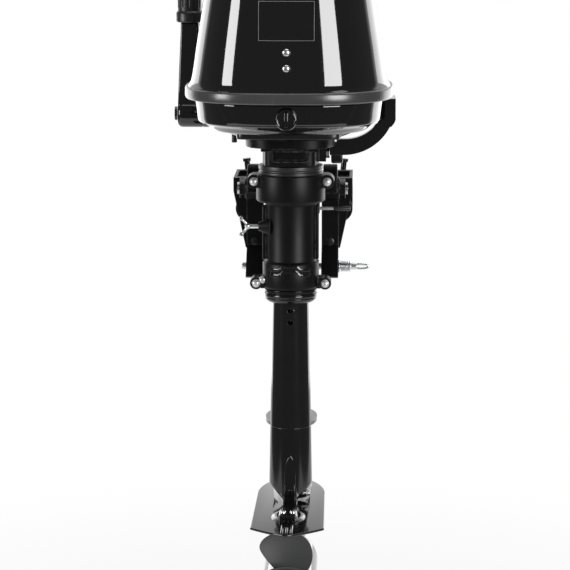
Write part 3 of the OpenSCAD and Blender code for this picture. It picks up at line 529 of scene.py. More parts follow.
class Effects:
    """Shader groups that several finishes share."""

    def __init__(self) -> None:
        """Build each group once."""
        self.grain = self._grain()
        self.edges = self._edges()
        self.tint = self._tint()

    @staticmethod
    def _group(name: str, inputs: dict[str, float | Point], outputs: dict[str, str]) -> NodeTree:
        """Start a group with named sockets.

        Args:
            name: Name of the group.
            inputs: Values and colours that it takes.
            outputs: Kind of each socket that it gives.

        Returns:
            The empty group.
        """
        group = bpy.data.node_groups.new(name, "ShaderNodeTree")
        for label, value in inputs.items():
            colour = isinstance(value, tuple)
            kind = "NodeSocketColor" if colour else "NodeSocketFloat"
            socket = group.interface.new_socket(label, in_out="INPUT", socket_type=kind)
            socket.default_value = (*value, 1.0) if colour else value
        for label, kind in outputs.items():
            group.interface.new_socket(label, in_out="OUTPUT", socket_type="NodeSocket" + kind)
        return group

    def _grain(self) -> NodeTree:
        """Wire the surface grain: a fine height, a broad smudge and a roughness that follows it.

        Returns:
            The group.
        """
        group = self._group("surface_grain", {"Scale": 600.0, "Streak": 1.0, "Roughness": 0.3, "Spread": 0.1},
                            {"Height": "Float", "Roughness": "Float", "Smudge": "Float"})
        wire = Wiring(group)
        enter = wire.add("NodeGroupInput").outputs
        place = wire.add("ShaderNodeTexCoord").outputs["Object"]
        stretch = wire.add("ShaderNodeCombineXYZ", {0: 1.0, 1: 1.0, 2: enter["Streak"]}).outputs[0]
        along = wire.add("ShaderNodeVectorMath", {0: place, 1: stretch}, operation="MULTIPLY").outputs[0]
        inputs = {"Vector": along, "Scale": enter["Scale"], "Detail": 3.0}
        fine = wire.add("ShaderNodeTexNoise", inputs).outputs[0]
        broad = wire.add("ShaderNodeTexNoise", {"Vector": place, "Scale": 28.0, "Detail": 4.0}).outputs[0]
        fine_part = wire.math("MULTIPLY", wire.math("SUBTRACT", fine, 0.5), 0.5)
        both = wire.math("ADD", wire.math("SUBTRACT", broad, 0.5), fine_part)
        varied = wire.math("MULTIPLY", both, enter["Spread"])
        rough = wire.math("ADD", enter["Roughness"], varied, clamp=True)
        wire.add("NodeGroupOutput", {"Height": fine, "Roughness": rough, "Smudge": broad})
        return group

    def _edges(self) -> NodeTree:
        """Wire a softened normal and a mask along the edges, for rubbed paint and a painted edge highlight.

        Returns:
            The group.
        """
        outputs = {"Normal": "Vector", "Mask": "Float"}
        group = self._group("worn_edges", {"Radius": 0.0006, "Wear": 0.3}, outputs)
        wire = Wiring(group)
        enter = wire.add("NodeGroupInput").outputs
        soft = wire.add("ShaderNodeBevel", {"Radius": enter["Radius"]}, samples=8).outputs[0]
        plain = wire.add("ShaderNodeNewGeometry").outputs["Normal"]
        dot = wire.add("ShaderNodeVectorMath", {0: soft, 1: plain}, operation="DOT_PRODUCT")
        match = dot.outputs["Value"]
        edge = wire.math("MULTIPLY", wire.math("SUBTRACT", 1.0, match), 7.0, clamp=True)
        place = wire.add("ShaderNodeTexCoord").outputs["Object"]
        patch = wire.add("ShaderNodeTexNoise", {"Vector": place, "Scale": 190.0}).outputs[0]
        broken = wire.math("MULTIPLY", wire.math("SUBTRACT", patch, 0.38), 4.0, clamp=True)
        mask = wire.math("MULTIPLY", wire.math("MULTIPLY", edge, broken), enter["Wear"], clamp=True)
        wire.add("NodeGroupOutput", {"Normal": soft, "Mask": mask})
        return group

    def _tint(self) -> NodeTree:
        """Wire a colour that drifts with the smudge and turns to the edge colour on the edges: rubbed paint,
        and on the castings a painted highlight.

        Returns:
            The group.
        """
        inputs = {"Mask": 0.0, "Smudge": 0.5, "Drift": 0.2, "Colour": (0.02, 0.02, 0.02),
                  "Worn": (0.3, 0.3, 0.3)}
        group = self._group("tinted_colour", inputs, {"Colour": "Color"})
        wire = Wiring(group)
        enter = wire.add("NodeGroupInput").outputs
        drift = wire.math("MULTIPLY", wire.math("SUBTRACT", enter["Smudge"], 0.5), enter["Drift"])
        bright = wire.math("ADD", 1.0, wire.math("MULTIPLY", drift, 2.0))
        drifted = wire.add("ShaderNodeVectorMath", {0: enter["Colour"], "Scale": bright}, operation="SCALE")
        # The edge mask mixes in the lighter edge colour: rubbed paint, and on the castings a painted
        # highlight.
        mix = wire.add("ShaderNodeMix", {0: enter["Mask"], 6: drifted.outputs[0], 7: enter["Worn"]},
                       data_type="RGBA")
        wire.add("NodeGroupOutput", {"Colour": mix.outputs[2]})
        return group


@dataclass(frozen=True)
class Finish:
    """Finish of a surface, in plain numbers."""

    name: str
    colour: Point
    roughness: float
    metal: float = 0.0
    ior: float = 1.5
    spread: float = 0.1
    grain: float = 700.0
    streak: float = 1.0
    depth: float = 0.00002
    bump: float = 0.6
    drift: float = 0.25
    # Edge colour and its strength: rubbed paint, and on cast_satin a painted highlight that stands in for
    # glints.
    worn: Point = (0.12, 0.12, 0.125)
    wear: float = 0.2
    soft: float = 0.0006

    def build(self, effects: Effects) -> Material:
        """Wire the finish as a material.

        Args:
            effects: Shared shader groups.

        Returns:
            The material.
        """
        material = bpy.data.materials.new(self.name)
        material.use_nodes = True
        material.diffuse_color = (*self.colour, 1.0)
        wire = Wiring(material.node_tree)
        grain = wire.add("ShaderNodeGroup", node_tree=effects.grain, inputs={
            "Scale": self.grain, "Streak": self.streak, "Roughness": self.roughness,
            "Spread": self.spread}).outputs
        edges = wire.add("ShaderNodeGroup", node_tree=effects.edges, inputs={
            "Radius": self.soft, "Wear": self.wear}).outputs
        tint = wire.add("ShaderNodeGroup", node_tree=effects.tint, inputs={
            "Colour": (*self.colour, 1.0), "Worn": (*self.worn, 1.0), "Drift": self.drift,
            "Smudge": grain["Smudge"], "Mask": edges["Mask"]}).outputs
        bump = wire.add("ShaderNodeBump", {"Strength": self.bump, "Distance": self.depth,
                                           "Height": grain["Height"], "Normal": edges["Normal"]}).outputs
        surface = wire.add("ShaderNodeBsdfPrincipled", {
            "Base Color": tint["Colour"], "Metallic": self.metal, "Roughness": grain["Roughness"],
            "IOR": self.ior, "Normal": bump["Normal"]}).outputs
        wire.add("ShaderNodeOutputMaterial", {"Surface": surface[0]})
        return material


FINISHES: tuple[Finish, ...] = (
    Finish("cowl_gloss", (0.006, 0.006, 0.0065), 0.05, ior=1.7, spread=0.03, grain=260, depth=0.000003,
           wear=0.0),
    Finish("leg_gloss", (0.008, 0.008, 0.0085), 0.09, ior=1.6, spread=0.04, grain=320, depth=0.000003,
           wear=0.08),
    # Painted highlight: the light grey edge colour and strong edge mask stand in for glints along the
    # castings' edges, on top of rubbed paint.
    Finish("cast_satin", (0.0065, 0.0065, 0.007), 0.38, ior=1.26, spread=0.14, depth=0.00001, wear=0.6,
           worn=(0.3, 0.3, 0.305), soft=0.0014),
    Finish("cast_black", (0.008, 0.008, 0.0085), 0.16, grain=600, depth=0.000008, wear=0.12),
    Finish("seal_rubber", (0.072, 0.072, 0.073), 0.25, ior=1.65, grain=1100, depth=0.00001, wear=0.1),
    Finish("grip_rubber", (0.014, 0.014, 0.015), 0.36, spread=0.16, grain=1300, depth=0.00004, wear=0.1),
    Finish("black_plastic", (0.014, 0.014, 0.015), 0.3, spread=0.12, grain=1000, depth=0.00003, wear=0.1),
    Finish("zinc", (0.74, 0.75, 0.76), 0.26, metal=1.0, spread=0.22, grain=520, worn=(0.9, 0.9, 0.9)),
    Finish("bolt_zinc", (0.78, 0.785, 0.79), 0.36, metal=0.55, spread=0.2, grain=640, depth=0.00003,
           worn=(0.9, 0.9, 0.9)),
    Finish("steel", (0.56, 0.57, 0.58), 0.24, metal=1.0, spread=0.16, grain=500, streak=0.15,
           worn=(0.8, 0.8, 0.8)),
    Finish("bare_alu", (0.55, 0.555, 0.56), 0.42, metal=0.9, spread=0.2, grain=650, depth=0.00006,
           worn=(0.8, 0.8, 0.8)),
    Finish("prop_grey", (0.048, 0.049, 0.05), 0.45, spread=0.12, grain=1200, wear=0.3, worn=(0.2, 0.2, 0.2)),
    Finish("bush_nylon", (0.03, 0.03, 0.031), 0.36, grain=900),
    Finish("red_plastic", (0.45, 0.025, 0.018), 0.32, grain=900, worn=(0.6, 0.1, 0.08)),
    Finish("plug_ceramic", (0.78, 0.77, 0.73), 0.2, spread=0.08, grain=500, worn=(0.6, 0.6, 0.6)),
    Finish("label_line", (0.42, 0.42, 0.43), 0.3, wear=0.0),
)


@dataclass
class Assembly:
    """Group of pieces of the motor, with the finishes that they are painted in."""

    paint: dict[str, Material]

    def place(self, name: str, parts: Sequence[Object], body: Body, finish: str, node: str = "",
              slot: str = "", angle: float = 38.0, flat: bool = False) -> None:
        """Join the parts of a piece, shade and paint it and let it ride on its body.

        Args:
            name: Name of the piece.
            parts: Meshes that it is joined from.
            body: Body that it rides on.
            finish: Finish of its surface, where its parts have none yet.
            node: Node of the model that it stands for.
            slot: Material slot of the record, where it isn't the node's own; not used.
            angle: Least angle between two faces that stays a sharp line.
            flat: Whether its large faces are kept flat beside rounded edges.
        """
        obj = Bench.joined(name, parts)
        Bench.settle()
        bpy.ops.object.shade_smooth_by_angle(angle=math.radians(angle))
        if flat:
            Bench.modify(obj, "WEIGHTED_NORMAL", keep_sharp=True, weight=60)
        if not obj.data.materials:
            obj.data.materials.append(self.paint[finish])
        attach(obj, body.value)
        if node:
            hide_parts(node)
        LOG.info("%s: %d faces on %s", obj.name, len(obj.data.polygons), body.value)

    def soften(self, node: str, name: str, width: float, body: Body, finish: str, slot: str = "") -> None:
        """Place a node of the model with no other change than rounded edges."""
        self.place(name, [Bench.softened(node, name, width)], body, finish, node, slot, flat=True)


@dataclass
class Cowl(Assembly):
    """Lift-off cowl with its rivets, bare label and the control panel in its front."""

    stations: tuple[Row, ...] = (
        (150.3, 125.6, -196.4, 84.6), (154, 122.9, -193.8, 84), (159, 121, -192.2, 83.4),
        (203, 114.2, -188.2, 79.2), (256, 106, -183, 74), (300, 99.8, -175, 67), (330, 94, -168, 60),
        (352, 84.5, -157, 50), (366, 72, -140, 34), (377, 55, -118, 14), (384, 34, -96, -6),
        (386.5, 14, -70, -34), (387, 3, -55, -49))
    wall: float = 3.0
    panel_half: float = 46.0
    panel_low: float = 140.0
    panel_top: float = 306.0
    rivet_heights: Pair = (179.0, 198.0)
    label_low: float = 212.0
    label_high: float = 259.0
    label_half: float = 33.5
    label_line: float = 0.45
    rows: list[Row] = field(init=False)

    def __post_init__(self) -> None:
        """Work out the rows of the form."""
        self.rows = smooth_track(self.stations, 7)

    def rear(self, x: float, z: float) -> float:
        """Give the place of the rear wall.

        Args:
            x: Distance from the middle plane.
            z: Height.

        Returns:
            Place along the length, from the steering axis.
        """
        for low, high in zip(self.rows, self.rows[1:]):
            if low[0] <= z <= high[0]:
                share = (z - low[0]) / (high[0] - low[0])
                half, back, front = (a + (b - a) * share for a, b in zip(low[1:], high[1:]))
                return (back + front) / 2 - (front - back) / 2 * bow(x, half)
        return self.rows[0][2]

    def shell(self) -> Object:
        """Make the closed-walled shell before its front is cut.

        Returns:
            The shell.
        """
        rings = [oval(half, back, front, z, HULL_SIDES) for z, half, back, front in self.rows]
        obj = Bench.skin("cowl_form", rings, fill=False)
        with Bench.editing(obj):
            bpy.ops.mesh.select_all(action="DESELECT")
        top = max(vertex.co.z for vertex in obj.data.vertices)
        for vertex in obj.data.vertices:
            vertex.select = vertex.co.z > top - 1e-6
        bpy.ops.object.mode_set(mode="EDIT")
        bpy.ops.mesh.edge_face_add()
        bpy.ops.mesh.select_all(action="SELECT")
        bpy.ops.mesh.normals_make_consistent(inside=False)
        bpy.ops.object.mode_set(mode="OBJECT")
        return Bench.walled(obj, self.wall, even=True)

    def sheet(self, columns: Sequence[float], low: float, high: float, lift: float) -> Object:
        """Lay an open sheet on the rear wall.

        Args:
            columns: Distances of its columns from the middle plane.
            low: Lower edge.
            high: Upper edge.
            lift: Distance from the wall.

        Returns:
            The sheet.
        """
        rings = []
        for z in spread(low, high, 12):
            rings.append([(x, AXIS_Y + self.rear(x, z) - lift, z) for x in columns])
        return Bench.skin("sheet", rings, looped=False, fill=False)

    def label(self) -> None:
        """Make the bare label: a thin film with a fine frame line."""
        low, high, half, line = self.label_low, self.label_high, self.label_half, self.label_line
        across = spread(-half, half, 24)
        film = Bench.walled(Bench.facing_astern(self.sheet(across, low, high, 0.2)), 0.25)
        self.place("label_film", [film], Body.COWL, "cowl_gloss", slot="cowl_gloss")
        lift, thick = 0.32, 0.2
        strips = []
        for edges in ((low, low + line), (high - line, high)):
            strips.append(Bench.walled(Bench.facing_astern(self.sheet(across, *edges, lift)), thick))
        for side in (-1, 1):
            upright = self.sheet((side * half, side * (half - line)), low, high, lift)
            strips.append(Bench.walled(upright, thick, 0.0))
        self.place("label_frame", strips, Body.COWL, "label_line", slot="cowl_gloss")

    def rivets(self) -> None:
        """Make the two domed rivets."""
        dome = [(0, -3.4), (1.2, -3.33), (2.4, -3.05), (3.5, -2.5), (4.3, -1.75), (4.8, -0.9), (5.0, -0.1),
                (5.0, 0.3), (2.5, 0.35), (2.5, 7.6), (0, 7.6)]
        heads = [Bench.turned("rivet", dome, Along.Y, (0, AXIS_Y + self.rear(0, z), z), 40)
                 for z in self.rivet_heights]
        self.place("rivet_heads", heads, Body.COWL, "zinc", "cowl_rivets")

    def front(self, name: str, margin: float) -> Object:
        """Make a block over the panel's place in the front, larger by a margin."""
        half, top = self.panel_half + margin, self.panel_top + margin
        return Bench.block(name, (-half, AXIS_Y, self.panel_low), (half, AXIS_Y + 200, top), 3.0)

    def build(self) -> None:
        """Make every piece of the cowl."""
        shell = self.shell()
        panel = Bench.copied(shell, "panel_form")
        hole = [(2.5, -8), (2.5, 12)]
        holes = [Bench.turned("rivet_hole", hole, Along.Y, (0, AXIS_Y + self.rear(0, z), z), 24)
                 for z in self.rivet_heights]
        Bench.combine(shell, [self.front("notch", 1.0)] + holes, "DIFFERENCE")
        self.place("cowl_shell", [shell], Body.COWL, "cowl_gloss", "upper_cowl", angle=30)
        Bench.combine(panel, [self.front("keep", 0.0)], "INTERSECT")
        cuts = [Bench.turned("cut", [(r, 0), (r, 120)], Along.Y, (x, AXIS_Y, z), 32)
                for x, z, r in ((26, 284, 2.5), (-24, 250, 3.05), (-24, 198, 7.05))]
        Bench.combine(panel, cuts, "DIFFERENCE")
        self.place("control_panel", [panel], Body.MOTOR, "black_plastic", "front_panel", "black_plastic", 30)
        self.label()
        self.rivets()


@dataclass
class Pan(Assembly):
    """Lower cowl with its seal band, raised rear field, strip and latch knob."""

    stations: tuple[Row, ...] = (
        (147, 118, -188, 80), (136, 117, -187, 79), (120, 115, -185, 77), (110.6, 113.9, -183.9, 75.9),
        (107.8, 113, -183, 75), (106.2, 109.4, -178.6, 72), (103, 104.6, -168, 69), (96.5, 97, -157, 62),
        (92, 85, -146, 58), (82.2, 59, -114, 48))
    wall: float = 3.0
    neck_z: float = 82.2
    neck_radius: float = 34.0
    rear_lift: float = 10.5
    latch_z: float = 118.0
    latch_wall: float = -185.0
    field_bend_z: float = 112.0
    field_slope: float = 0.114
    field_middle: float = -54.0
    band: Point = (129.0, -200.0, 90.0)

    def pan(self) -> None:
        """Make the pan with its raised field and the strip under its rear end."""
        rings = []
        for z, half, back, front in smooth_track(self.stations, 6):
            lift = self.rear_lift * blend_step(97, self.neck_z, z)
            ring = oval(half, back, front, z, HULL_SIDES)
            rings.append([(x, y, h + lift * blend_step(-60, -112, y - AXIS_Y)) for x, y, h in ring])
        hole = []
        for x, y, _ in rings[-1]:
            turn = math.atan2(y - AXIS_Y, x)
            x, y = self.neck_radius * math.cos(turn), self.neck_radius * math.sin(turn)
            hole.append((x, AXIS_Y + y, self.neck_z))
        shell = Bench.walled(Bench.skin("pan", rings + [hole], fill=False), self.wall, even=True)
        drill = Bench.turned("drill", [(4.05, -75), (4.05, 35)], Along.Y, (0, AXIS_Y - 185, self.latch_z), 32)
        Bench.combine(shell, [drill], "DIFFERENCE")
        parts = [shell, self.raised_field()]
        self.place("pan_shell", parts, Body.MOTOR, "cowl_gloss", "lower_cowl", angle=30)
        outline = [(x, y) for x, y, _ in oval(64, -121, -60, 0, 64, 8.0)]
        strip = Bench.plate("strip", outline, 86.4, 94.4, Plane.XY, 1.4, 3)
        self.place("pan_strip", [strip], Body.MOTOR, "black_plastic", slot="seal_rubber")

    def raised_field(self) -> Object:
        """Make the raised field around the latch.

        Returns:
            The field, ready to be joined to the pan.
        """
        rings = []
        for z, half in zip(spread(109.5, 134, 14), spread(72, 84, 14)):
            above = z - self.field_bend_z
            back = -184.2 - above * (self.field_slope if above > 0 else 0.5) - self.field_middle
            row = []
            for x in spread(-half, half, 40):
                y = self.field_middle + back * bow(x, 113.5 + above * self.field_slope) - 1.6
                row.append((x, AXIS_Y + y, z))
            rings.append(row)
        obj = Bench.facing_astern(Bench.skin("field", rings, looped=False, fill=False))
        return Bench.rounded(Bench.walled(obj, 2.6), 0.7, 2, 50)

    def seal(self) -> None:
        """Make the rubber band between the cowls."""
        section = [(-14, 150), (-6, 150.2), (-2.6, 150.1), (-1.1, 149.6), (-0.3, 148.5), (0, 147), (0.1, 143),
                   (0, 139), (-0.3, 137.5), (-1.1, 136.4), (-2.6, 136), (-6, 136), (-11.2, 136),
                   (-11.2, 147.2), (-14, 147.2)]
        half, rear, front = self.band
        rings = [oval(half + out, rear - out, front + out, z, 160) for out, z in section]
        obj = Bench.skin("seal_band", rings + [rings[0]], fill=False)
        self.place("seal_band", [obj], Body.MOTOR, "seal_rubber", "cowl_seal", angle=50)

    def knob(self) -> None:
        """Make the latch knob with its ring and finger bar."""
        back, z = AXIS_Y + self.latch_wall, self.latch_z
        steps = [(4, 11.5), (4, -1), (12.4, -1), (13, -1.8), (13, -9), (12.2, -10.4), (11.2, -10.8),
                 (10.2, -10.4), (9.8, -9.4), (0, -9.2)]
        disc = Bench.turned("disc", steps, Along.Y, (0, back, z), 64)
        bar = Bench.block("bar", (-2.5, back - 13.2, z - 9.4), (2.5, back - 9, z + 9.4), 1.1, 3)
        cam = Bench.block("cam", (-3, back + 6, z - 3), (3, back + 9, z + 7), 0.5)
        self.place("latch_turn_knob", [disc, bar, cam], Body.LATCH, "leg_gloss", "latch_knob")

    def build(self) -> None:
        """Make every piece of the pan."""
        self.pan()
        self.seal()
        self.knob()


@dataclass
class Swivel(Assembly):
    """Swivel halves with bolts, drag screw, trim pin, spring and stop rod."""

    lug: Point = (46.5, 14.0, 22.0)
    foot_lug: Point = (44.0, 12.0, -109.0)
    drag: Point = (0.0, AXIS_Y - 16, -35.0)
    collar: float = 36.0
    pin: Point = (0.0, -14.11, -102.33)
    stop: Point = (0.0, -50.0, -21.0)

    def cover(self) -> None:
        """Make the rear half: turned form cut in two, lugs, rails and boss."""
        profile = [(29, 31), (42.6, 31), (43.6, 30.5), (44, 29.4), (44, -0.8), (43.7, -2.0), (43.1, -3.2),
                   (42.0, -4.0), (36.0, -4.5), (33.6, -5.2), (32.7, -6.6), (32.5, -9),
                   (32.5, -79), (32.9, -80.2), (34.2, -81.2), (35.5, -81.9), (36, -83), (36, -112.2),
                   (35.6, -113.6), (34.8, -114.8), (33.8, -115.5), (29, -115.5), (29, 31)]
        half = Bench.turned("half", profile, Along.Z, (0, AXIS_Y, 0), 128)
        with Bench.editing(half):
            bpy.ops.mesh.bisect(plane_co=(0, AXIS_Y * MM, 0), plane_no=(0, 1, 0), clear_outer=True,
                                use_fill=True)
        parts = [half]
        for side in (-1, 1):
            for (x, deep, z), r, inner in ((self.lug, 9, 34), (self.foot_lug, 8, 27)):
                steps = [(4.1, -deep), (r - 0.8, -deep), (r, -deep + 0.8), (r, 0), (4.1, 0), (4.1, -deep)]
                parts.append(Bench.turned("ear", steps, Along.Y, (side * x, AXIS_Y, z), 32))
                low, high = sorted((side * inner, side * (x - 5)))
                edge = r - 1.2
                rear = AXIS_Y - deep + 1
                parts.append(Bench.block("web", (low, rear, z - edge), (high, AXIS_Y, z + edge), 1.2, 3))
            rail = side * 33.5
            parts.append(Bench.block("rail", (rail - 2.5, AXIS_Y - 9, -78), (rail + 2.5, AXIS_Y, -9), 1.4, 3))
        boss = [(2.7, -40.5), (5.2, -40.5), (6.0, -39.6), (6.6, -37.5), (9.6, -31), (11, -26), (2.7, -26),
                (2.7, -40.5)]
        parts.append(Bench.turned("boss", boss, Along.X, self.drag, 40))
        self.place("swivel_rear_half", parts, Body.SWIVEL, "cast_satin", "swivel_cover")

    def waved_rib(self) -> None:
        """Make the waved double rib on the lower collar."""
        section = [(-5.6, -1.0), (-5.4, 0.95), (-5.1, 1.05), (-2.2, 0.68), (-1.8, 0.1), (1.6, 0.1),
                   (2.0, 0.95), (2.3, 1.05), (5.2, 0.68), (5.6, -1.0)]
        rings = []
        for x in spread(-25, 25, 48):
            middle = -92.4 + 5.6 * blend_step(16, 6.5, abs(x))
            angle = math.asin(x / self.collar)
            row = []
            for across, lift in section:
                z = middle + across
                radius = self.collar - 3.3 * blend_step(-83, -80, z) + lift
                row.append((radius * math.sin(angle), AXIS_Y - radius * math.cos(angle), z))
            rings.append(row)
        rib = Bench.skin("waved_rib", rings)
        self.place("waved_rib", [rib], Body.SWIVEL, "leg_gloss", slot="cast_satin", angle=30)

    @staticmethod
    def bolt(at: Point, r: float, reach: float) -> Object:
        """Make one hex bolt with a washer face and a rounded crown.

        Args:
            at: Middle of the face that its head rests on.
            r: Radius of its head over the corners.
            reach: Length of its shank.

        Returns:
            The bolt.
        """
        parts = Bench.turnings(
            Along.Y, at,
            (6, [(0, -6), (r * 0.72, -6), (r * 0.86, -5.6), (r, -4.4), (r, -1.2), (0, -1.2)]),
            (40, [(0, -1.2), (r + 0.2, -1.2), (r + 0.6, -0.8), (r + 0.6, 0), (0, 0)]),
            (32, [(0, -6.6), (1.8, -6.5), (2.8, -6.1), (3.1, -5.6), (3.1, -1.2), (0, -1.2)]),
            (24, [(0, -1), (3.5, -1), (3.5, reach), (0, reach)]))
        Bench.rounded(parts[0], 0.35)
        return Bench.joined("bolt", parts)

    def bolts(self) -> None:
        """Make the four bolts of the swivel and the small one on its port foot."""
        heads = []
        for side in (-1, 1):
            for (x, deep, z), r, reach in ((self.lug, 4.9, 26), (self.foot_lug, 4.7, 22)):
                heads.append(self.bolt((side * x, AXIS_Y - deep, z), r, reach))
        heads.append(self.bolt((-35.5, AXIS_Y - 11, -104.5), 4.4, 6))
        self.place("swivel_bolt_set", heads, Body.SWIVEL, "bolt_zinc", "swivel_bolts")

    def drag_screw(self) -> None:
        """Make the wing screw that sets the steering drag."""
        _, y, z = self.drag
        parts = Bench.turnings(
            Along.X, self.drag,
            (32, [(0, -58), (2.2, -58), (2.6, -57.4), (2.6, -28.5), (0, -28.5)]),
            (32, [(0, -57), (3.4, -57), (3.8, -56.4), (3.8, -53), (3.2, -52.2), (0, -52.2)]))
        tip = [(0, -2.0), (1.9, -1.9), (2.7, -1.0), (2.9, 0), (2.7, 1.0), (1.9, 1.9), (0, 2.0)]
        bend = ((-55.5, 1.5), (-57, 4.6), (-59.6, 7.4), (-62.2, 9.8))
        for side in (-1, 1):
            path = [(x, y, z + side * out) for x, out in bend]
            parts.append(Bench.tube("ear", smooth_track(path, 6), 1.7, sides=14))
            parts.append(Bench.turned("tip", tip, Along.Y, (-62.4, y, z + side * 10.2), 24))
        self.place("drag_wing_screw", parts, Body.FRICTION, "zinc", "friction_screw")

    def trim_pin(self) -> None:
        """Make the trim pin with its collars, wire loop and coil spring."""
        _, y, z = self.pin
        parts = Bench.turnings(
            Along.X, self.pin,
            (40, [(0, -67), (3.4, -67), (4.5, -65.6), (4.5, 83.2), (3.6, 84), (0, 84)]),
            (40, [(0, 60.3), (8, 60.3), (8.5, 60.7), (8.5, 61.6), (8, 62), (0, 62)]),
            (40, [(0, 74), (7, 74), (7.5, 74.4), (7.5, 75.6), (7, 76), (0, 76)]))
        path = []
        for i in range(48):
            c, s = math.cos(2 * math.pi * i / 48), math.sin(2 * math.pi * i / 48)
            out = 6.0 * math.copysign(min(1.0, abs(c) * 1.4), c)
            path.append((90 + out + 2.9 * c, y, z + 2.9 * s))
        parts.append(Bench.tube("loop", path, 1.5, closed=True))
        self.place("trim_pin_with_loop", parts, Body.TRIM_PIN, "zinc", "trim_pin")
        helix = []
        for i in range(6 * 32 + 1):
            turn = 2 * math.pi * i / 32
            helix.append((62.7 + 10.6 * i / 192, y + 6.7 * math.cos(turn), z + 6.7 * math.sin(turn)))
        coil = Bench.tube("trim_coil", helix, 0.6)
        self.place("trim_coil", [coil], Body.TRIM_PIN, "steel", "trim_pin_spring", "zinc")

    def front_half(self) -> None:
        """Make the front half with the lug of the stop rod."""
        front = Bench.softened("swivel_bracket", "front", 1.2)
        lug = Bench.block("lug", (27, -58, -28), (36, -43, -2), 2.5, 3)
        self.place("swivel_front_half", [front, lug], Body.SWIVEL, "cast_satin", "swivel_bracket", flat=True)

    def stop_rod(self) -> None:
        """Make the short rod beside the swivel with its black sleeve."""
        rod, sleeve = Bench.turnings(
            Along.X, self.stop,
            (24, [(0, 30), (2.2, 30), (2.2, 56), (0, 56)]),
            (24, [(0, 54), (2.7, 54), (3.2, 54.6), (3.2, 74.4), (2.6, 75.6), (1.4, 76.2), (0, 76.3)]))
        self.place("stop_rod", [rod], Body.SWIVEL, "bolt_zinc", slot="zinc")
        self.place("stop_rod_sleeve", [sleeve], Body.SWIVEL, "grip_rubber", slot="grip_rubber")

    def build(self) -> None:
        """Make every piece of the swivel."""
        self.cover()
        self.waved_rib()
        self.bolts()
        self.drag_screw()
        self.trim_pin()
        self.front_half()
        self.stop_rod()


@dataclass
class Leg(Assembly):
    """Steering head, thrust collar and leg."""

    frame_half: float = 23.0
    frame_low: float = 51.0
    frame_high: float = 66.0
    frame_corner: float = 5.0

    def head(self) -> None:
        """Make the flange and neck with a framed housing at the back."""
        relief = [((-60, -190, 40), (60, -146, 70.8)), ((-60, -150, 40), (-36.6, -120, 70.8)),
                  ((36.6, -150, 40), (60, -120, 70.8))]
        pockets = [Bench.block("pocket", low, high, 2.5, 3) for low, high in relief]
        head = Bench.softened("steering_head", "head", 1.0, cutters=pockets)
        lower = [(x, y) for x, y, _ in oval(33, -40, 12, 0, 64, 5.0)]
        housing = Bench.plate("housing", lower, 43.4, 71.2, Plane.XY, 2.0, 3)
        half, corner = self.frame_half - self.frame_corner, self.frame_corner
        low, high = self.frame_low + corner, self.frame_high - corner
        path = []
        for k, (x, z) in enumerate(((-half, high), (half, high), (half, low), (-half, low))):
            for turn in spread(math.pi * (1.0 - 0.5 * k), math.pi * (0.5 - 0.5 * k), 6):
                path.append((x + corner * math.cos(turn), AXIS_Y - 39.8, z + corner * math.sin(turn)))
        rim = Bench.tube("rim", path, 1.3, closed=True)
        self.place("steering_head_casting", [head, housing, rim], Body.MOTOR, "cast_satin", "steering_head",
                   flat=True)

    def collar(self) -> None:
        """Make the ridged thrust collar."""
        profile = [(24, -115.8), (33, -115.8), (34, -116.4), (34, -119.6), (33.2, -120.4), (32, -120.8),
                   (32, -121.8), (33.4, -122.3), (33.8, -123.2), (33.8, -125.4), (33.2, -126.3),
                   (32.2, -126.7), (32.2, -127.5), (32.8, -128), (32.4, -129.4), (30.5, -131.6),
                   (28.4, -133), (24, -133), (24, -115.8)]
        collar = Bench.turned("collar", profile, Along.Z, (0, AXIS_Y, 0), 96)
        self.place("ridged_collar", [collar], Body.MOTOR, "cast_black", "thrust_collar", "cast_satin")

    def build(self) -> None:
        """Make every piece of the head and leg."""
        self.head()
        self.collar()
        self.soften("leg_tube", "leg_casting", 0.7, Body.MOTOR, "leg_gloss")


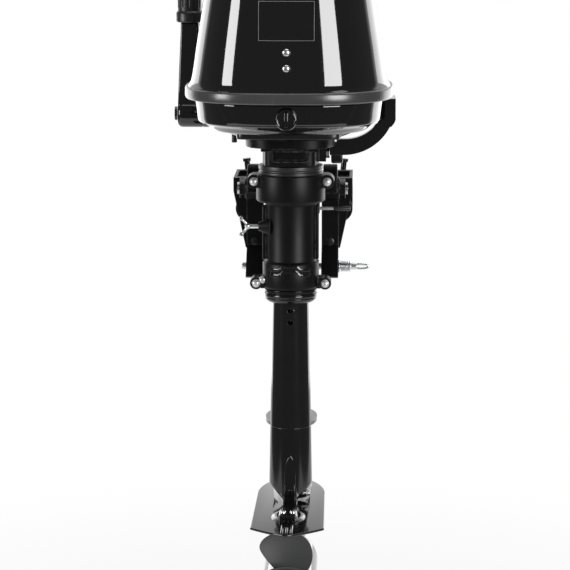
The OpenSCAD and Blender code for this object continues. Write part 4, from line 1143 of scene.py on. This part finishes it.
@dataclass
class Gearcase(Assembly):
    """Strut, plate, pod, skeg and propeller."""

    strut_top: float = -296.0
    plate_z: float = -392.5
    plate_low: float = -395.4
    screw: Point = (-4.0, AXIS_Y - 10, -383.5)
    hub: float = 35.0
    reach: float = 86.0
    pitch: float = 150.0
    blade_y: float = AXIS_Y - 134
    widest: float = 0.72

    @staticmethod
    def fin(half: float, rear: float, front: float, tail: float, count: int = 32) -> list[Pair]:
        """Give a streamlined outline with a round nose and a narrow tail.

        Args:
            half: Half of its width.
            rear: Reach behind the axis.
            front: Reach in front of the axis.
            tail: Half width of the tail.
            count: Steps of each quarter.

        Returns:
            Points from the steering axis.
        """
        side = [(half * math.sin(turn), front * math.cos(turn)) for turn in spread(0, math.pi / 2, count)]
        for share in spread(0, 1, count)[1:]:
            side.append((tail + (half - tail) * (1 + math.cos(math.pi * share)) / 2, rear * share))
        return side + [(-x, y) for x, y in reversed(side[1:])]

    def strut(self) -> Object:
        """Make the strut: a round column whose foot draws in to a narrow tail, with a V shaped edge astern.

        Returns:
            The strut.
        """
        foot = smooth_track((
            (0.0, 0.0, 100.0), (1.2, 16.0, 97.0), (2.5, 25.0, 86.0), (4.2, 25.4, 62.0), (5.6, 21.4, 36.0),
            (6.8, 16.8, 10.0), (7.8, 12.0, -10.0), (9.0, 9.0, -24.0), (10.0, 8.4, -44.5)), 6)
        side: list[tuple[float, float, float, float]] = []
        for share, x, y in foot:
            turn = math.pi / 2 - math.pi * share / 10
            side.append((math.cos(turn), math.sin(turn), x, y))
        outline = side + [(-a, b, -x, y) for a, b, x, y in reversed(side)]
        rings = []
        for z in spread(self.strut_top, self.plate_z - 1, 64):
            radius = 26.4 + 1.4 * (z - self.strut_top) / -78
            row = []
            for a, b, x, y in outline:
                out = abs(a) if b < 0 else 1.0
                start = self.plate_z - 3 + 25.5 * out
                flare = blend_step(start, start - 3.5 - 6 * out - 14 * max(b, 0.0), z)
                round_off = radius * (1 - flare)
                row.append((a * round_off + x * flare, AXIS_Y + b * round_off + y * flare, z))
            rings.append(row)
        return Bench.skin("strut", rings)

    @staticmethod
    def ridge() -> Object:
        """Make the ridge down the strut's back.

        Returns:
            The ridge.
        """
        rows = []
        for z, half, rear in ((-326, 1.2, -25), (-336, 3.2, -28.6), (-346, 6.2, -32.2), (-355, 7.2, -36.5),
                              (-363, 7.2, -42.5), (-365.5, 7.4, -44.6), (-394, 9.0, -45.5)):
            edge = ((half, 0), (half, rear + 1.8), (half - 1.6, rear))
            port = [(-x, AXIS_Y + y, z) for x, y in edge]
            rows.append(port + [(x, AXIS_Y + y, z) for x, y in reversed(edge)])
        return Bench.rounded(Bench.skin("ridge", rows), 0.7, 2, 30)

    def plate(self) -> list[Object]:
        """Make the plate with the mound, ribs, plinth and screw boss on it.

        Returns:
            Its pieces.
        """
        edge = [(44.2 * math.cos(turn), AXIS_Y + 22 + 90 * math.sin(turn)) for turn in spread(0, math.pi, 32)]
        for share in spread(-1, 1, 40):
            edge.append((46 * share, AXIS_Y - 158 - 35.5 * (1 - abs(share) ** 1.35)))
        parts = [Bench.plate("plate", edge, self.plate_low, self.plate_z, Plane.XY, 1.0, 3),
                 Bench.block("mound", (-11.4, AXIS_Y - 134, -394), (11.4, AXIS_Y - 98, -382.6), 2.6, 4)]
        for x in (-5.8, 0.0, 5.8):
            low, high = (x - 1.4, AXIS_Y - 190, -394), (x + 1.4, AXIS_Y - 128, -390.2)
            parts.append(Bench.block("rib", low, high, 0.9, 3))
        steps = ((22.5, 33, -393.5), (19.4, 30, -391.2), (16.4, 27, -389.9), (13, 24, -389.4))
        plinth = [oval(half, -102 - reach, -102 + reach, z, 64, 2.4) for half, reach, z in steps]
        parts.append(Bench.skin("plinth", plinth))
        boss = [(0, 4), (8.4, 4), (8.0, 14), (6.0, 22.6), (5.4, 24.4), (0, 24.4)]
        parts.append(Bench.turned("screw_boss", boss, Along.X, self.screw, 40))
        return parts

    def pod(self) -> list[Object]:
        """Make the keel under the plate, the pod and the skeg.

        Returns:
            The three pieces.
        """
        outline = [(x, AXIS_Y + y) for x, y in self.fin(19, -96, 66, 5)]
        keel = Bench.plate("keel", outline, PROP_Z, -394.5, Plane.XY)
        profile = [(0, -104), (32, -104), (33, -103), (33.6, -96), (34, -40)]
        for turn in reversed(spread(0, math.pi / 2, 32)):
            profile.append((34 * math.sin(turn), 46 + 44 * math.cos(turn)))
        pod = Bench.turned("pod", profile, Along.Y, (0, AXIS_Y, PROP_Z), 96)
        rings = []
        for z, front, rear, half in ((-505, 62, -78, 5), (-530, 44, -77.5, 4.6), (-567, 12, -76, 3.6),
                                     (-580, -30, -75, 2.8), (-585, -56, -72, 1.8)):
            long = front - rear
            row = self.fin(half, -long * 0.62, long * 0.38, 1.0, 10)
            rings.append([(x, AXIS_Y + y + rear + long * 0.62, z) for x, y in row])
        return [keel, pod, Bench.skin("skeg", rings)]

    def screws(self) -> None:
        """Make the two screws on the mound and the oil screw in its boss."""
        cap = [(0, -383.4), (3.6, -383.4), (3.6, -381.4), (2.8, -380.2), (0, -379.9)]
        caps = [Bench.turned("cap", cap, Along.Z, (x, AXIS_Y - 120, 0), 24) for x in (-6.2, 6.2)]
        self.place("plate_screws", caps, Body.MOTOR, "zinc", slot="zinc")
        disc, head = Bench.turnings(
            Along.X, self.screw,
            (32, [(0, 14), (3, 14), (3, 24), (4.8, 24), (5.2, 24.4), (5.2, 25.4), (0, 25.4)]),
            (6, [(0, 25.2), (4.4, 25.2), (4.4, 28.4), (3.6, 29.4), (0, 29.8)]))
        self.place("oil_screw", [disc, Bench.rounded(head, 0.3)], Body.MOTOR, "bolt_zinc", "gearcase_screw")

    def blade_point(self, t: float, u: float, side: int) -> Point:
        """Give a point of the first blade.

        Args:
            t: Share of the way from hub to tip.
            u: Share of the way across, from -1 to 1.
            side: 1 for the front face, -1 for the back.

        Returns:
            The point from the hub's middle.
        """
        if t < self.widest:
            half = 18 + 16 * math.sin(math.pi / 2 * t / self.widest)
        else:
            half = 34 * max(0.0, 1 - ((t - self.widest) / 0.285) ** 2.4) ** 0.42
        r = self.hub - 6 + (self.reach - self.hub + 6) * t
        lead = math.atan(self.pitch / (2 * math.pi * r))
        c = u * half + 8 - 19 * t * t
        thick = (4.6 - 3.2 * t) * math.sqrt(max(0.03, 1 - u * u)) * side / 2 + 1.5 * (1 - u * u)
        arc = (c * math.cos(lead) - thick * math.sin(lead)) / r
        return r * math.sin(arc), c * math.sin(lead) + thick * math.cos(lead) - 4 * t, r * math.cos(arc)

    def blade(self, turn: float) -> Object:
        """Make one blade, turned about the shaft.

        Args:
            turn: Angle from the first blade.

        Returns:
            The blade.
        """
        c, s = math.cos(turn), math.sin(turn)
        around = [(math.sin(math.pi / 2 * (2 * j / 24 - 1)), 1) for j in range(25)]
        around += [(u, -1) for u, _ in reversed(around)]
        rings = []
        for share in spread(0, math.pi / 2, 28):
            points = [self.blade_point(math.sin(share), u, side) for u, side in around]
            rings.append([(x * c + z * s, self.blade_y + y, PROP_Z + z * c - x * s) for x, y, z in points])
        return Bench.skin("blade", rings)

    def propeller(self) -> None:
        """Make the hub and the three blades."""
        hub = [(7, -166), (16, -166), (16, -150), (33.5, -150), (37.5, -153), (41.5, -162), (45.5, -166),
               (48.2, -166), (48.6, -165.2), (43, -156), (38, -146), (35.6, -138), (34, -108), (33, -106.2),
               (31.5, -106), (7, -106), (7, -166)]
        parts = [Bench.turned("hub", hub, Along.Y, (0, AXIS_Y, PROP_Z), 96)]
        parts += [self.blade(math.radians(angle)) for angle in (0, 120, 240)]
        self.place("propeller_casting", parts, Body.PROPELLER, "prop_grey", "propeller", angle=45)

    def build(self) -> None:
        """Make every piece of the gearcase."""
        parts = [self.strut(), self.ridge()] + self.pod() + self.plate()
        self.place("gearcase_casting", parts, Body.MOTOR, "leg_gloss", "gearcase", angle=40)
        self.screws()
        self.propeller()


@dataclass
class Tiller(Assembly):
    """Steering bar, folding arm and twist grip."""

    pivot: Point = (-134.5, -7.0, 98.0)
    grip_foot: float = 217.0
    grip_sides: int = 144
    flutes: int = 12

    def grip(self) -> None:
        """Make the ribbed grip with its collar and domed end."""
        x, y, _ = self.pivot
        sections = [(129, 9.05, 0), (0, 9.05, 0), (0, 16.4, 0), (1.2, 17.5, 0), (11.6, 17.6, 0),
                    (13, 16.8, 0), (14.6, 15.2, 0), (18, 15.4, 0), (21, 15.6, 1), (60, 15.9, 1),
                    (100, 15.6, 1), (129, 15.6, 1), (133, 15.5, 0), (137, 14.6, 0), (139.2, 12.2, 0),
                    (140, 8.5, 0)]
        rings = []
        for up, radius, flute in sections:
            row = []
            for i in range(self.grip_sides):
                turn = 2 * math.pi * i / self.grip_sides
                r = radius - max(0.0, math.cos(self.flutes * turn)) ** 3 * 1.1 * flute
                row.append((x + r * math.cos(turn), y + r * math.sin(turn), self.grip_foot + up))
            rings.append(row)
        grip = Bench.skin("grip", rings)
        self.place("grip", [grip], Body.THROTTLE, "grip_rubber", "throttle_grip", angle=40)

    def arm(self) -> None:
        """Make the arm: a knuckle with a rounded end, a tapered blade and the rod in the grip."""
        x, y, z = self.pivot
        knuckle = [(5, -16.5), (11, -16.5), (13.6, -16.1), (15.8, -14.9), (17.3, -12.8), (18, -10),
                   (18, 15.6), (17, 17), (5, 17), (5, -16.5)]
        rings = []
        for up, half, deep, shift in (
                (5, 14.6, 12.6, -1), (8, 15, 13, -1), (60, 13.6, 11.8, -0.3), (110, 12, 10.5, 0.5),
                (117, 12, 10.5, 0.5), (118.2, 11.6, 10, 0.5), (118.6, 10.6, 9.4, 0.5)):
            ring = oval(half, -deep, deep, z + up, 96, 7.0)
            rings.append([(x + shift + a, y - AXIS_Y + b, h) for a, b, h in ring])
        parts = [Bench.turned("knuckle", knuckle, Along.X, self.pivot, 64), Bench.skin("blade", rings),
                 Bench.turned("rod", [(0, 117), (9, 117), (9, 247), (0, 247)], Along.Z, self.pivot, 48)]
        self.place("tiller_arm_casting", parts, Body.TILLER, "leg_gloss", "tiller_arm")

    def bar(self) -> None:
        """Make the steering bar with a bend in place of its corner."""
        outside = [(137, 87), (137, 100), (133.2, 100), (132.4, 97.2), (130.8, 94.2), (128.6, 91.4),
                   (125.8, 88.8), (125, 87)]
        inside = [(100, 123), (119, 123), (119, 103), (118, 101), (108, 92.6), (100, 92.6)]
        cutters = [Bench.plate("cutter", outline, AXIS_Y - 2, AXIS_Y + front, Plane.XZ)
                   for outline, front in ((outside, 76), (inside, 21))]
        bar = Bench.softened("steering_bar", "bar", 1.6, 3, cutters)
        foot = Bench.block("foot", (51, AXIS_Y + 6.5, 43), (66, AXIS_Y + 17.5, 60), 3.0, 4)
        self.place("steering_bar_casting", [bar, foot], Body.MOTOR, "leg_gloss", "steering_bar", flat=True)

    def build(self) -> None:
        """Make every piece of the tiller."""
        self.arm()
        self.grip()
        self.bar()


@dataclass
class Clamp(Assembly):
    """Clamp brackets, bridge, nuts, pads and screws."""

    ear_y: float = -25.0
    ear_z: float = 16.0
    ear_radius: float = 18.0
    screw_z: float = -34.0
    screw_core: float = 9.8

    def bracket(self, node: str, side: int) -> None:
        """Round a bracket, cut the pocket in its hook and raise its tilt ear.

        Args:
            node: Node of the bracket.
            side: 1 for starboard, -1 for port.
        """
        low, high = sorted((side * 42.0, side * 74.0))
        pocket = Bench.block("pocket", (low, 1, 6), (high, 72, 24), 2.5, 3)
        hook = Bench.softened(node, "hook", 1.4, cutters=[pocket])
        r = self.ear_radius
        outline = [(self.ear_y - r, -2)]
        for turn in spread(math.pi, 0, 16):
            outline.append((self.ear_y + r * math.cos(turn), self.ear_z + r * math.sin(turn)))
        outline.append((self.ear_y + r, -2))
        low, high = sorted((side * 40.0, side * 58.6))
        ear = Bench.plate("ear", outline, low, high, Plane.YZ, 1.6, 3)
        self.place(node + "_casting", [hook, ear], Body.CLAMP, "cast_satin", node, flat=True)

    def screw(self, body: Body) -> None:
        """Round a clamp screw and paint its cross bar.

        Args:
            body: Body that it rides on, which is named like its node.
        """
        obj = Bench.softened(body.value, "screw", 0.5)
        for finish in ("zinc", "cast_black"):
            obj.data.materials.append(self.paint[finish])
        for face in obj.data.polygons:
            face.material_index = int(abs(face.center.z - self.screw_z * MM) > self.screw_core * MM)
        self.place(body.value + "_rounded", [obj], body, "zinc", body.value, flat=True)

    def hole_caps(self) -> None:
        """Close the transom bolt holes from astern with push-in caps."""
        profile = [(0, -25.2), (4.4, -25.1), (5.4, -24.7), (5.6, -24.0), (4.2, -24.0), (4.0, -16), (0, -16)]
        caps = [Bench.turned("cap", profile, Along.Y, (x, 0, -68.3), 32) for x in (-49, 49)]
        self.place("bolt_hole_caps", caps, Body.CLAMP, "black_plastic", slot="black_plastic")

    def build(self) -> None:
        """Make every piece of the clamp."""
        self.bracket("clamp_bracket_port", -1)
        self.bracket("clamp_bracket_starboard", 1)
        self.soften("clamp_bridge", "clamp_bridge_plate", 1.2, Body.CLAMP, "cast_satin")
        self.soften("tilt_nuts", "tilt_nuts_black", 0.6, Body.CLAMP, "cast_black", "cast_black")
        for body in (Body.PAD_PORT, Body.PAD_STARBOARD):
            self.soften(body.value, body.value + "_rounded", 0.6, body, "cast_satin")
        for body in (Body.SCREW_PORT, Body.SCREW_STARBOARD):
            self.screw(body)
        self.hole_caps()


@dataclass
class Controls(Assembly):
    """Pull handle, choke knob, stop button and other small pieces."""

    def build(self) -> None:
        """Round the controls and fasteners."""
        for node, width, body, finish in (
                ("starter_handle", 1.6, Body.STARTER, "grip_rubber"),
                ("choke_knob", 1.2, Body.CHOKE, "black_plastic"),
                ("stop_button", 1.0, Body.STOP, "red_plastic"),
                ("bar_bolts", 0.5, Body.MOTOR, "zinc"),
                ("upper_bush", 0.8, Body.SWIVEL, "bush_nylon"),
                ("fuel_nipple", 0.4, Body.MOTOR, "black_plastic"),
                ("prop_nut", 0.6, Body.PROPELLER, "zinc"),
                ("tiller_bracket_bolt", 0.6, Body.TILLER, "cast_black")):
            self.soften(node, node + "_rounded", width, body, finish)


@dataclass
class Studio:
    """Camera, world, floor and lamps."""

    target: Point = (-7.4, -105.0, -113.0)
    distance: float = 3363.0
    azimuth: float = 1.8
    elevation: float = 9.2
    lens: float = 165.66
    floor_z: float = -0.6
    room: float = 0.55

    def camera(self) -> None:
        """Set the camera at the view of the photograph."""
        a, e = math.radians(self.azimuth), math.radians(self.elevation)
        away = Vector((math.sin(a) * math.cos(e), -math.cos(a) * math.cos(e), math.sin(e)))
        data = bpy.data.cameras.new("view")
        data.sensor_width = 36.0
        data.lens = self.lens
        data.clip_end = 50.0
        camera = bpy.data.objects.new("view", data)
        camera.location = (Vector(self.target) + away * self.distance) * MM
        camera.rotation_euler = (-away).to_track_quat("-Z", "Y").to_euler()
        bpy.context.collection.objects.link(camera)
        bpy.context.scene.camera = camera

    @staticmethod
    def ramp(wire: Wiring, value: Socket, start: Pair, end: Pair) -> Socket:
        """Ease a value between two pairs.

        Args:
            wire: Tree that is wired.
            value: Socket with the value.
            start: Value and result where the ease starts.
            end: Value and result where the ease ends.

        Returns:
            Socket with the result.
        """
        inputs = {"Value": value, "From Min": start[0], "From Max": end[0], "To Min": start[1],
                  "To Max": end[1]}
        return wire.add("ShaderNodeMapRange", inputs, interpolation_type="SMOOTHSTEP").outputs[0]

    def world(self) -> None:
        """Make a white backdrop that gloss sees behind the object, with a dim room in front."""
        world = bpy.data.worlds.new("studio")
        world.use_nodes = True
        bpy.context.scene.world = world
        wire = Wiring(world.node_tree)
        path = wire.add("ShaderNodeLightPath").outputs
        place = wire.add("ShaderNodeTexCoord").outputs["Generated"]
        ahead = wire.add("ShaderNodeSeparateXYZ", {0: place}).outputs["Y"]
        behind = self.ramp(wire, ahead, (0.56, 0.13), (0.72, 1.0))
        plain = wire.math("MAXIMUM", path["Is Camera Ray"], path["Is Transmission Ray"])
        seen = wire.math("MAXIMUM", plain, wire.math("MULTIPLY", path["Is Glossy Ray"], behind))
        other = wire.math("SUBTRACT", 1.0, wire.math("MAXIMUM", plain, path["Is Glossy Ray"]))
        level = wire.math("ADD", seen, wire.math("MULTIPLY", other, self.room))
        back = wire.add("ShaderNodeBackground", {"Color": (1.0, 1.0, 1.0, 1.0), "Strength": level})
        wire.add("ShaderNodeOutputWorld", {"Surface": back.outputs[0]})

    def floor(self) -> None:
        """Lay the pale floor, which keeps a soft shadow."""
        bpy.ops.mesh.primitive_plane_add(size=1)
        floor = Bench.added("studio_floor")
        floor.scale = (2.2, 3.5, 1.0)
        floor.location = (0.0, 0.85, self.floor_z)
        Bench.settle()
        material = bpy.data.materials.new("floor_white")
        material.use_nodes = True
        wire = Wiring(material.node_tree)
        path = wire.add("ShaderNodeLightPath").outputs
        seen = wire.math("MAXIMUM", path["Is Camera Ray"], path["Is Glossy Ray"])
        seen = wire.math("MAXIMUM", seen, path["Is Transmission Ray"])
        place = wire.add("ShaderNodeTexCoord").outputs["Object"]
        away = wire.add("ShaderNodeVectorMath", {0: place}, operation="LENGTH").outputs["Value"]
        share = wire.math("MULTIPLY", seen, self.ramp(wire, away, (0.6, 0.8), (1.1, 1.0)))
        matt = wire.add("ShaderNodeBsdfDiffuse", {"Color": (0.86, 0.86, 0.86, 1.0)})
        glow = wire.add("ShaderNodeEmission")
        mix = wire.add("ShaderNodeMixShader", {0: share, 1: matt.outputs[0], 2: glow.outputs[0]})
        wire.add("ShaderNodeOutputMaterial", {"Surface": mix.outputs[0]})
        floor.data.materials.append(material)

    @staticmethod
    def soft_box(name: str, size: Pair, energy: float, at: Point) -> Object:
        """Hang a soft box that the camera doesn't see.

        Args:
            name: Name of the lamp.
            size: Width and height of its face.
            energy: Power of the lamp.
            at: Place of the lamp in metres.

        Returns:
            The lamp, which points down.
        """
        data = bpy.data.lights.new(name, "AREA")
        data.shape = "RECTANGLE"
        data.size, data.size_y = size
        data.energy = energy
        lamp = bpy.data.objects.new(name, data)
        lamp.location = at
        lamp.visible_camera = False
        bpy.context.collection.objects.link(lamp)
        return lamp

    def upright(self, name: str, bearing: float, distance: float, heights: Pair, width: float,
                radiance: float, fill: bool = False) -> None:
        """Hang one upright soft box that faces the motor.

        Args:
            name: Name of the lamp.
            bearing: Angle from the camera's side, positive to starboard.
            distance: Distance from the steering axis.
            heights: Lower and upper edge.
            width: Width of its face.
            radiance: Brightness of its face.
            fill: Whether it lights matt surfaces only, instead of glossy ones only.
        """
        low, high = heights
        turn = math.radians(bearing)
        at = (distance * math.sin(turn), -distance * math.cos(turn) - 0.16, (low + high) / 2)
        lamp = self.soft_box(name, (width, high - low), radiance * math.pi * width * (high - low), at)
        lamp.rotation_euler = (math.pi / 2, 0.0, turn)
        lamp.visible_diffuse = fill
        lamp.visible_glossy = not fill

    def lamps(self) -> None:
        """Hang the soft boxes and the top light."""
        self.upright("strip_port", -62.0, 6.0, (-0.55, 2.4), 1.95, 11.0)
        self.upright("strip_starboard", 38.0, 6.0, (-0.55, 2.4), 2.65, 11.0)
        for bearing in (-150.0, 150.0):
            self.upright("rim", bearing, 1.9, (-0.6, 0.45), 1.3, 1.7)
        self.upright("fill_front", -20.0, 2.6, (0.3, 2.3), 1.6, 0.5, fill=True)
        self.soft_box("top_light", (2.0, 2.0), 26.0, (0.3, 0.3, 2.2))

    def build(self) -> None:
        """Set the camera and the light."""
        bpy.context.scene.view_settings.view_transform = "Standard"
        self.camera()
        self.world()
        self.floor()
        self.lamps()


def dress_nodes(paint: dict[str, Material]) -> None:
    """Give a finish to each node of the model.

    Args:
        paint: Materials by name.
    """
    for name, obj in frame["nodes"].items():
        material = paint[NODE_FINISH.get(name, SLOTS[name])]
        if not obj.material_slots:
            obj.data.materials.append(material)
        for slot in obj.material_slots:
            slot.material = material


def main() -> None:
    """Build the scene in order."""
    logging.basicConfig(level=logging.INFO, format="%(name)s %(message)s")
    effects = Effects()
    paint = {finish.name: finish.build(effects) for finish in FINISHES}
    Studio().build()
    dress_nodes(paint)
    for assembly in (Cowl, Pan, Swivel, Leg, Gearcase, Tiller, Clamp, Controls):
        assembly(paint).build()


if __name__ == "__main__":
    main()
